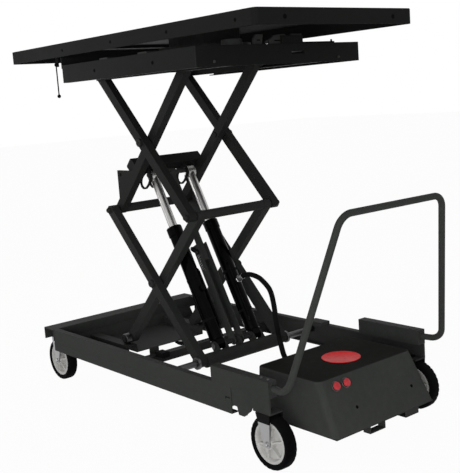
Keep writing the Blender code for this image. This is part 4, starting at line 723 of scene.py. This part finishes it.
# Turntable: two turned steel rings with a narrow running gap, the lower one fixed on the
# platform and the upper one under the top, with twelve screws in it, all painted.
ring_x = -spread + 0.4775
ring_low = frame_high + 0.0003
ring_paint = frame_paint("ring_paint", tone=0.0200, wear=0.9, polish=0.40)
finish_node(ring_paint, "swivel_ring_lower", "swivel_ring_upper")
lower_ring = [
    (0.0960, 0.0002), (0.1990, 0.0002), (0.2003, 0.0014), (0.2003, 0.0150), (0.1990, 0.0160),
    (0.0960, 0.0160),
]
upper_ring = [
    (0.1500, 0.0168), (0.1932, 0.0168), (0.1943, 0.0178), (0.1943, 0.0313), (0.1932, 0.0325),
    (0.1500, 0.0325),
]
for name, ring, body in (("lower", lower_ring, "platform"), ("upper", upper_ring, "top")):
    shape = spun(ring, at(ring_x, 0, ring_low), (0, 0, 1), 96, closed=True)
    add(f"turntable_{name}", shape, ring_paint, body)
bolt_count, bolt_circle = 12, 0.176
ring_bolts = []
for step in range(bolt_count):
    angle = 2 * math.pi * (step + 0.5) / bolt_count
    x, y = ring_x + bolt_circle * math.cos(angle), bolt_circle * math.sin(angle)
    ring_bolts.append(at(x, y, ring_low + 0.0325))
bolts("turntable_bolts", ring_bolts, (0, 0, 1), 0.0050, ring_paint, "top")

# Lock of the turntable, on top of the platform's right end plate: a round spring housing,
# a slotted guide between two cheeks, its bolt and the flat bar of the pull. They are cut
# from steel plate, welded on and painted. The bolt is oiled steel.
lock_steel = plated_steel("lock_steel", tone=0.035, bloom=0.8, polish=0.42)
lock_paint = frame_paint("lock_paint", tone=0.0260, wear=0.9, polish=0.40)
lock_x = frame_right - 0.014
lock_low = frame_high + 0.0004
housing = [(0.0, 0.0), (0.0400, 0.0), (0.0400, 0.0200), (0.0380, 0.0235), (0.0, 0.0235)]
housing_shape = spun(housing, at(lock_x - 0.044, -0.205, lock_low), (0, 0, 1), 48)
add("lock_housing", housing_shape, lock_paint, "platform")
cheek = [(-0.134, 0.0), (-0.094, 0.0), (-0.086, 0.0365), (-0.122, 0.0365), (-0.134, 0.0200)]
guide = [(-0.042, 0.0), (0.064, 0.0), (0.050, 0.0230), (0.022, 0.0375), (-0.030, 0.0330), (-0.052, 0.0160)]
far_cheek = [(0.078, 0.0), (0.098, 0.0), (0.116, 0.0370), (0.060, 0.0370)]
plates = (("cheek_near", cheek, 0.010), ("guide", guide, 0.014), ("cheek_far", far_cheek, 0.008))
for name, outline, depth in plates:
    raised = [(y, lock_low + z) for y, z in outline]
    plate = flat_plate(raised, lock_x - depth, lock_x, "X")
    add(f"lock_{name}", plate, lock_paint, "platform", rounding=0.0012)
# The slots are thin black inlays on the plates' faces: painted shade for their dark insides.
slot_half, slot_depth = 0.0022, 0.0005
for name, low_y, high_y, height in (("guide", -0.030, 0.040, 0.0125), ("cheek", -0.118, -0.102, 0.0150)):
    middle = lock_low + height
    slot = block((lock_x, low_y, middle - slot_half), (lock_x + slot_depth, high_y, middle + slot_half))
    add(f"lock_slot_{name}", slot, shade_and_black_paint, "platform")
bolts("lock_bolt", [at(lock_x - 0.006, -0.066, lock_low + 0.010)], (1, 0, 0), 0.0080, lock_steel, "platform")
pull = joined(
    block((lock_x - 0.012, 0.104, lock_low), (lock_x + 0.004, 0.292, lock_low + 0.0055)),
    block((lock_x - 0.012, 0.284, lock_low + 0.0050), (lock_x - 0.008, 0.292, lock_low + 0.0140)),
)
add("lock_pull", pull, shade_and_black_paint, "platform", rounding=0.0010)

# Table top: one folded 3 mm sheet with rounded corners, in matt paint much darker than
# the frame's, a painted shade that darkens the parts the higher they stand. Its pressed
# holes for stop pins, along its sides and in its ends, are black inside: painted shade.
top_shaded_paint = frame_paint("top_shaded_paint", tone=0.0080, wear=0.6, polish=0.54)
finish_node(top_shaded_paint, "top_plate")
top_left = -spread - 0.516
top_right = top_left + 1.775
top_half = 0.399
hole_z = frame_high + 0.0404 + 0.026


# A pressed hole: a raised rim round a black disc, whose black is painted shade for the hole's dark inside.
def pressed_hole(place, direction, radius):
    ring = [(0.0, 0.0002), (radius * 0.98, 0.0002), (radius, 0.0006), (radius * 1.28, 0.0004)]
    ring += [(radius * 1.30, 0.0), (0.0, -0.0010)]
    return spun(ring, place, direction, 32)


for side, hand in both_sides:
    places = [at(x, side * top_half, hole_z) for x in (-0.609, -0.215, 0.173, 0.569)]
    rims = [pressed_hole(place, (0, side, 0), 0.0050) for place in places]
    add(f"top_side_holes_{hand}", joined(*rims), shade_and_black_paint, "top")
for end, x, outward in (("near", top_right, 1), ("far", top_left, -1)):
    rims = [pressed_hole(at(x, y, hole_z), (outward, 0, 0), 0.0065) for y in (-0.266, 0.285)]
    add(f"top_end_holes_{end}", joined(*rims), shade_and_black_paint, "top")

# Release rod: bent steel wire with a ball at its end, in a coat of dull black plastic. It
# hangs in a bracket under the top's far corner and swings there.
finish_node(moulded, "release_rod")

# Push handle: one 25 mm steel tube, bent at four corners and powder coated, a little
# lighter than the frame. Both its ends go into blocks on the rails.
socket_width, socket_height = 0.040, 0.061
socket_right = 0.646
socket_depth = 0.078
socket_y = 0.429 - socket_width / 2
handle_radius, bend_radius = 0.0125, 0.060
handle_z = 0.039 + 0.0003 + 0.57 * socket_height


def bent(corners, radius, steps):
    """A route through corners, each rounded to a radius in a number of steps."""
    points = [Vector(corners[0])]
    for before, corner, after in zip(corners, corners[1:], corners[2:]):
        corner = Vector(corner)
        back = (Vector(before) - corner).normalized()
        onward = (Vector(after) - corner).normalized()
        half = back.angle(onward) / 2
        centre = corner + (back + onward).normalized() * radius / math.sin(half)
        start = corner + back * radius / math.tan(half) - centre
        end = corner + onward * radius / math.tan(half) - centre
        for step in range(steps + 1):
            points.append(centre + start.lerp(end, step / steps).normalized() * radius)
    points.append(Vector(corners[-1]))
    return points


near_half = [(socket_right, socket_y, handle_z), (0.735, 0.4225, handle_z), (0.8806, 0.265, 0.679)]
far_half = [(x, -y, z) for x, y, z in reversed(near_half)]
handle_points = [at(socket_right - socket_depth, socket_y, handle_z)]
handle_points += [hinge + point for point in bent(near_half + far_half, bend_radius, 14)]
handle_points += [at(socket_right - socket_depth, -socket_y, handle_z)]
handle_paint = frame_paint("handle_paint", tone=0.0330, wear=0.2, polish=0.46)
handle = add("handle_tube", tube_along(handle_points, handle_radius, 32), handle_paint, "base")
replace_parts(handle, "push_handle")

# Handle sockets: painted steel blocks welded on the rails' ends, with the legs and plates
# that carry the casters. Each has two set screws and a turned ring round the handle.
socket_paint = frame_paint("socket_paint", tone=0.0290)
finish_node(socket_paint, "handle_socket_left", "handle_socket_right")
handle_ring = [(0.0126, 0.0), (0.0185, 0.0), (0.0185, 0.0022), (0.0165, 0.0032), (0.0126, 0.0032)]
for side, hand in both_sides:
    set_screws = [at(x, side * socket_y, 0.1003) for x in (0.590, 0.625)]
    bolts(f"socket_screws_{hand}", set_screws, (0, 0, 1), 0.0055, bolt_steel, "base")
    shape = spun(handle_ring, at(socket_right, side * socket_y, handle_z), (1, 0, 0), 40, closed=True)
    add(f"handle_ring_{hand}", shape, socket_paint, "base")

# Caster forks: pressed from steel, black at the head and zinc plated on the legs. Each
# turns on a ball race under the caster's plate, ahead of its wheel's axle.
swivel_fork_top = -0.0560
swivel_x, swivel_y, race_z = 0.600, 0.398, -0.0257
fork_finish = frame_paint("fork_finish", tone=0.0040, wear=0.3, zinc_below=hinge.z + swivel_fork_top)
finish_node(fork_finish, "swivel_fork_left", "swivel_fork_right")
race = [(0.0180, 0.0), (0.0290, 0.0), (0.0300, 0.0014), (0.0290, 0.0030), (0.0180, 0.0030)]
for side, hand in both_sides:
    shape = spun(race, at(swivel_x, side * swivel_y, race_z), (0, 0, 1), 48, closed=True)
    add(f"ball_race_{hand}", shape, bolt_steel, f"swivel_fork_{hand}")

# Wheels: four centres moulded in light grey nylon with a bush and six ribs on each face,
# and a black rubber tread with siped shoulders pressed on each. They turn on axles with
# a plated nut on both sides.
tyre_black = rubber("tyre_black", (0.0020, 0.0020, 0.0024), (0.0060, 0.0060, 0.0060), 180.0)
wheel_radius = 0.100
wheel_z = wheel_radius - hinge_height
trail = 0.020
fixed_x, fixed_y = -0.965, 0.362
nut_face = 0.0332


def nylon(name):
    material, shader, graph, place = begin(name, Specular_IOR_Level=0.45)
    cloud = place.noise(16.0, 4.0)
    fine = place.noise(130.0, 2.0)
    dirt = (cloud.over(0.50, 0.78) * 0.5 + fine.over(0.62, 0.80) * 0.2).held()
    dirt.tint(colour(0.44, 0.435, 0.42), colour(0.22, 0.215, 0.20)).into(shader, "Base Color")
    (0.34 + 0.2 * cloud).into(shader, "Roughness")
    fine.raise_on(shader, 0.08, 0.0003, edges_of(graph, 0.0010)[0])
    return material


wheel_nylon = nylon("wheel_nylon")


def wheel_tread(name, centre, body, node):
    sides, sipe_every, sipe_depth = 112, 4, 0.0020
    shoulders = (3, 4, 7, 8)
    half, inner = 0.025, 0.0783
    profile = [
        (inner, -0.020), (0.0860, -0.0238), (0.0925, -half), (0.0975, -0.0215), (0.0998, -0.0165),
        (0.1001, -0.006), (0.1001, 0.006), (0.0998, 0.0165), (0.0975, 0.0215), (0.0925, half),
        (0.0860, 0.0238), (inner, 0.020),
    ]
    shape = bmesh.new()
    rings = []
    for number, (radius, across) in enumerate(profile):
        ring = []
        for step in range(sides):
            angle = 2 * math.pi * step / sides
            reach = radius - (sipe_depth if number in shoulders and step % sipe_every == 0 else 0.0)
            place = Vector((reach * math.cos(angle), across, reach * math.sin(angle)))
            ring.append(shape.verts.new(centre + place))
        rings.append(ring)
    for lower, upper in zip(rings, rings[1:] + rings[:1]):
        bridge(shape, lower, upper)
    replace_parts(add(name, shape, tyre_black, body), node)


def wheel_rib(centre, angle, face):
    half_width = 0.0032
    out = Vector((math.cos(angle), 0.0, math.sin(angle)))
    across = Vector((-out.z, 0.0, out.x)) * half_width
    shape = bmesh.new()
    corners = []
    for reach, height in ((0.0205, 0.0235), (0.0660, 0.0165)):
        for sign in (-1, 1):
            for depth in (0.0050, height):
                place = centre + out * reach + across * sign + Vector((0, face * depth, 0))
                corners.append(shape.verts.new(place))
    a, b, c, d, e, f, g, h = corners
    for loop in ((a, b, d, c), (e, g, h, f), (a, e, f, b), (c, d, h, g), (b, f, h, d), (a, c, g, e)):
        shape.faces.new(loop)
    return shape


def wheel_centre(name, centre, body, node):
    profile = [
        (0.0084, 0.0270), (0.0200, 0.0270), (0.0220, 0.0255), (0.0240, 0.0075), (0.0620, 0.0060),
        (0.0660, 0.0180), (0.0685, 0.0200), (0.0765, 0.0200), (0.0780, 0.0185),
    ]
    full = profile + [(radius, -across) for radius, across in reversed(profile)]
    shapes = [spun(full, centre, (0, 1, 0), 72, closed=True)]
    ribs = 6
    for face in (1, -1):
        for number in range(ribs):
            shapes.append(wheel_rib(centre, 2 * math.pi * (number + 0.25) / ribs, face))
    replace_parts(add(name, joined(*shapes), wheel_nylon, body), node)


for side, hand in both_sides:
    for kind, x, y in (("swivel", swivel_x + trail, swivel_y), ("fixed", fixed_x, fixed_y)):
        body = f"{kind}_wheel_{hand}"
        centre = at(x, side * y, wheel_z)
        wheel_tread(f"{kind}_tread_{hand}", centre, body, f"{body}_tyre")
        wheel_centre(f"{kind}_centre_{hand}", centre, body, f"{body}_hub")
        carrier = f"swivel_fork_{hand}" if kind == "swivel" else "base"
        for face in (1, -1):
            name = f"{kind}_axle_nut_{hand}_{'out' if face == side else 'in'}"
            place = centre + Vector((0, face * nut_face, 0))
            bolts(name, [place], (0, face, 0), 0.0100, zinc, carrier)

# Power unit cover: sheet folded and welded over the tray, in the frame's paint but more
# matt, with a painted shade on top, where it lies flat, that makes the top darker.
cover_paint = frame_paint("cover_paint", tone=0.0390, wear=0.4, polish=0.58, sheen=0.010, flat_top_shade=0.0080)
finish_node(cover_paint, "power_unit_cover")


# Disc on the cover: a plain round plate moulded in glossy red plastic, with a low rim at
# its edge, stuck on the flat top of the cover.
def red_plastic(name, shade, deep):
    material, shader, graph, place = begin(name, Specular_IOR_Level=0.06)
    cloud = place.noise(60.0, 3.0)
    cloud.over(0.35, 0.70).tint(colour(*shade), colour(*deep)).into(shader, "Base Color")
    (0.32 + 0.18 * cloud).into(shader, "Roughness")
    place.noise(500.0, 1.0).raise_on(shader, 0.05, 0.0002)
    return material


disc_radius = 0.0752
disc_red = red_plastic("disc_red", (0.88, 0.020, 0.024), (0.76, 0.016, 0.018))
disc_profile = [
    (0.0, 0.0), (disc_radius, 0.0), (disc_radius, 0.0010), (0.0744, 0.0016), (0.0712, 0.0016),
    (0.0706, 0.0013), (0.0, 0.0013),
]
disc_shape = spun(disc_profile, at(0.5687, 0.018, 0.0683), (0, 0, 1), 96)
disc = add("round_disc", disc_shape, disc_red, "base")
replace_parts(disc, "cover_disc")

# Push buttons: two red plastic caps, one to raise and one to lower, set in turned and
# plated bezels on the cover's slope. A cap moves 4 mm in its bezel. Two more holes of
# the slope take the cover's screws.
slope_top, slope_foot = (0.7166, 0.062), (0.8075, -0.118)
slope_run, slope_fall = slope_foot[0] - slope_top[0], slope_top[1] - slope_foot[1]
outward = Vector((slope_fall, 0.0, slope_run)).normalized()


def on_slope(y, z):
    return at(slope_top[0] + (slope_top[1] - z) / slope_fall * slope_run, y, z)


button_z = 0.038
button_red = red_plastic("button_red", (0.55, 0.06, 0.07), (0.42, 0.03, 0.035))
button_profile = [
    (0.0, -0.0080), (0.0088, -0.0080), (0.0088, -0.0044), (0.0060, -0.0043), (0.0060, 0.0046),
    (0.0145, 0.0046), (0.0150, 0.0052), (0.0150, 0.0098), (0.0142, 0.0118), (0.0120, 0.0128),
    (0.0080, 0.0134), (0.0, 0.0138),
]
bezel = [(0.0156, 0.0002), (0.0192, 0.0002), (0.0192, 0.0022), (0.0184, 0.0030), (0.0156, 0.0030)]
for name, y in (("raise_button", -0.130), ("lower_button", -0.182)):
    place = on_slope(y, button_z)
    cap = add(f"{name}_cap", spun(button_profile, place, outward, 48), button_red, name)
    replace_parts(cap, name)
    add(f"{name}_bezel", spun(bezel, place, outward, 48, closed=True), bolt_steel, "base")
# The screw holes are black discs in pressed rims; the black is painted shade for their insides.
screw_places = [on_slope(-0.121, -0.046), on_slope(0.182, -0.048)]
screw_holes = [pressed_hole(place, outward, 0.0048) for place in screw_places]
add("cover_screw_holes", joined(*screw_holes), shade_and_black_paint, "base")

# Brackets under the cover's end: a towing bracket folded as a channel, with a bolt, and
# an angle for the cables, both of 4 mm plate in frame paint and hung from the tray.
bracket_end, tow_low, tray_low = 0.8040, -0.1500, -0.1225
tow = joined(
    block((0.7700, -0.0935, tow_low), (bracket_end, -0.0895, tray_low)),
    block((0.7700, -0.0895, tow_low), (bracket_end, -0.0100, tow_low + 0.0040)),
    block((0.7700, -0.0140, tow_low), (bracket_end, -0.0100, tray_low)),
)
add("tow_bracket", tow, rail_paint, "base", rounding=0.0010)
bolts("tow_bracket_bolt", [at(0.7870, -0.0500, tow_low)], (0, 0, -1), 0.0070, bolt_steel, "base")
cable_low = -0.1460
cable_angle = joined(
    block((0.7600, 0.1050, cable_low), (bracket_end, 0.1800, cable_low + 0.0040)),
    block((0.8000, 0.1050, cable_low), (bracket_end, 0.1800, tray_low)),
)
add("side_bracket", cable_angle, rail_paint, "base", rounding=0.0010)

# Inside the cover: a tray folded from sheet, on it a battery in a moulded black case with
# lead posts, and the pump unit in cast metal, dull and uncoated.
pump_casting = plated_steel("pump_casting", tone=0.22, bloom=0.9, polish=0.38)
finish_node(rail_paint, "power_unit_tray")
finish_node(moulded, "battery")
finish_node(pump_casting, "pump_unit")

# Floor: a wide sheet of white paper just under the wheels. The camera, glossy and
# transmitted rays see it almost white, and it keeps the table's soft shadow.
floor_reach, floor_z = 30.0, -0.0004
floor_shape = bmesh.new()
signs = ((-1, -1), (1, -1), (1, 1), (-1, 1))
corners = [floor_shape.verts.new((x * floor_reach, y * floor_reach, floor_z)) for x, y in signs]
floor_shape.faces.new(corners)
floor_mesh = bpy.data.meshes.new("floor")
floor_shape.to_mesh(floor_mesh)
floor_shape.free()
floor = bpy.data.objects.new("floor", floor_mesh)
bpy.context.scene.collection.objects.link(floor)


def seen_directly(graph):
    rays = ("Is Camera Ray", "Is Glossy Ray", "Is Transmission Ray")
    seen, glossy, through = [graph.node("ShaderNodeLightPath", {}, {}, ray) for ray in rays]
    return (seen + glossy + through).held()


floor_paper = bpy.data.materials.new("floor_paper")
floor_paper.use_nodes = True
tree = floor_paper.node_tree
paper = tree.nodes["Principled BSDF"]
paper.inputs["Base Color"].default_value = colour(0.80, 0.80, 0.80)
paper.inputs["Roughness"].default_value = 0.9
paper.inputs["Specular IOR Level"].default_value = 0.0
graph = Shade(tree)
white = graph.node("ShaderNodeEmission", {}, {"Color": colour(1.0, 1.0, 1.0), "Strength": 1.0})
share = seen_directly(graph) * 0.965
lit = graph.node("ShaderNodeMixShader", {}, {0: share, 1: Shade(tree, paper.outputs[0]), 2: white})
tree.links.new(lit.socket, tree.nodes["Material Output"].inputs["Surface"])
floor_mesh.materials.append(floor_paper)

# Background: a white studio wall to the camera, glossy and transmitted rays. It lights
# the table as a bright horizon under a sky that dims towards the top.
world = bpy.data.worlds.new("studio")
world.use_nodes = True
bpy.context.scene.world = world
tree = world.node_tree
graph = Shade(tree)
direction = graph.node("ShaderNodeTexCoord", {}, {}, "Generated")
height = graph.node("ShaderNodeSeparateXYZ", {}, {0: direction}, "Z").held()
sky_stops = ((0.0, 1.0), (0.15, 0.85), (0.50, 0.40), (1.0, 0.20))
sky = graph.node("ShaderNodeValToRGB", {"stops": sky_stops}, {0: height})
shown = seen_directly(graph).tint(sky, colour(1.0, 1.0, 1.0))
tree.links.new(shown.socket, tree.nodes["Background"].inputs["Color"])


# Lamps: a large soft box low at the near right, which lights the sides that the picture
# shows, and a weak one at the near left for the edges.
def soft_box(name, place, target, size, power):
    light = bpy.data.lights.new(name, "AREA")
    light.shape = "RECTANGLE"
    light.size, light.size_y = size
    light.energy = power
    lamp = bpy.data.objects.new(name, light)
    lamp.location = place
    lamp.rotation_euler = (Vector(target) - Vector(place)).to_track_quat("-Z", "Y").to_euler()
    bpy.context.scene.collection.objects.link(lamp)


soft_box("key", (3.4, -3.8, 1.1), (0.2, 0.0, 0.4), (2.4, 1.6), 110.0)
soft_box("rim", (-3.5, -2.2, 1.4), (-0.2, 0.0, 0.8), (1.8, 1.8), 24.0)

bpy.context.scene.view_settings.view_transform = "Standard"
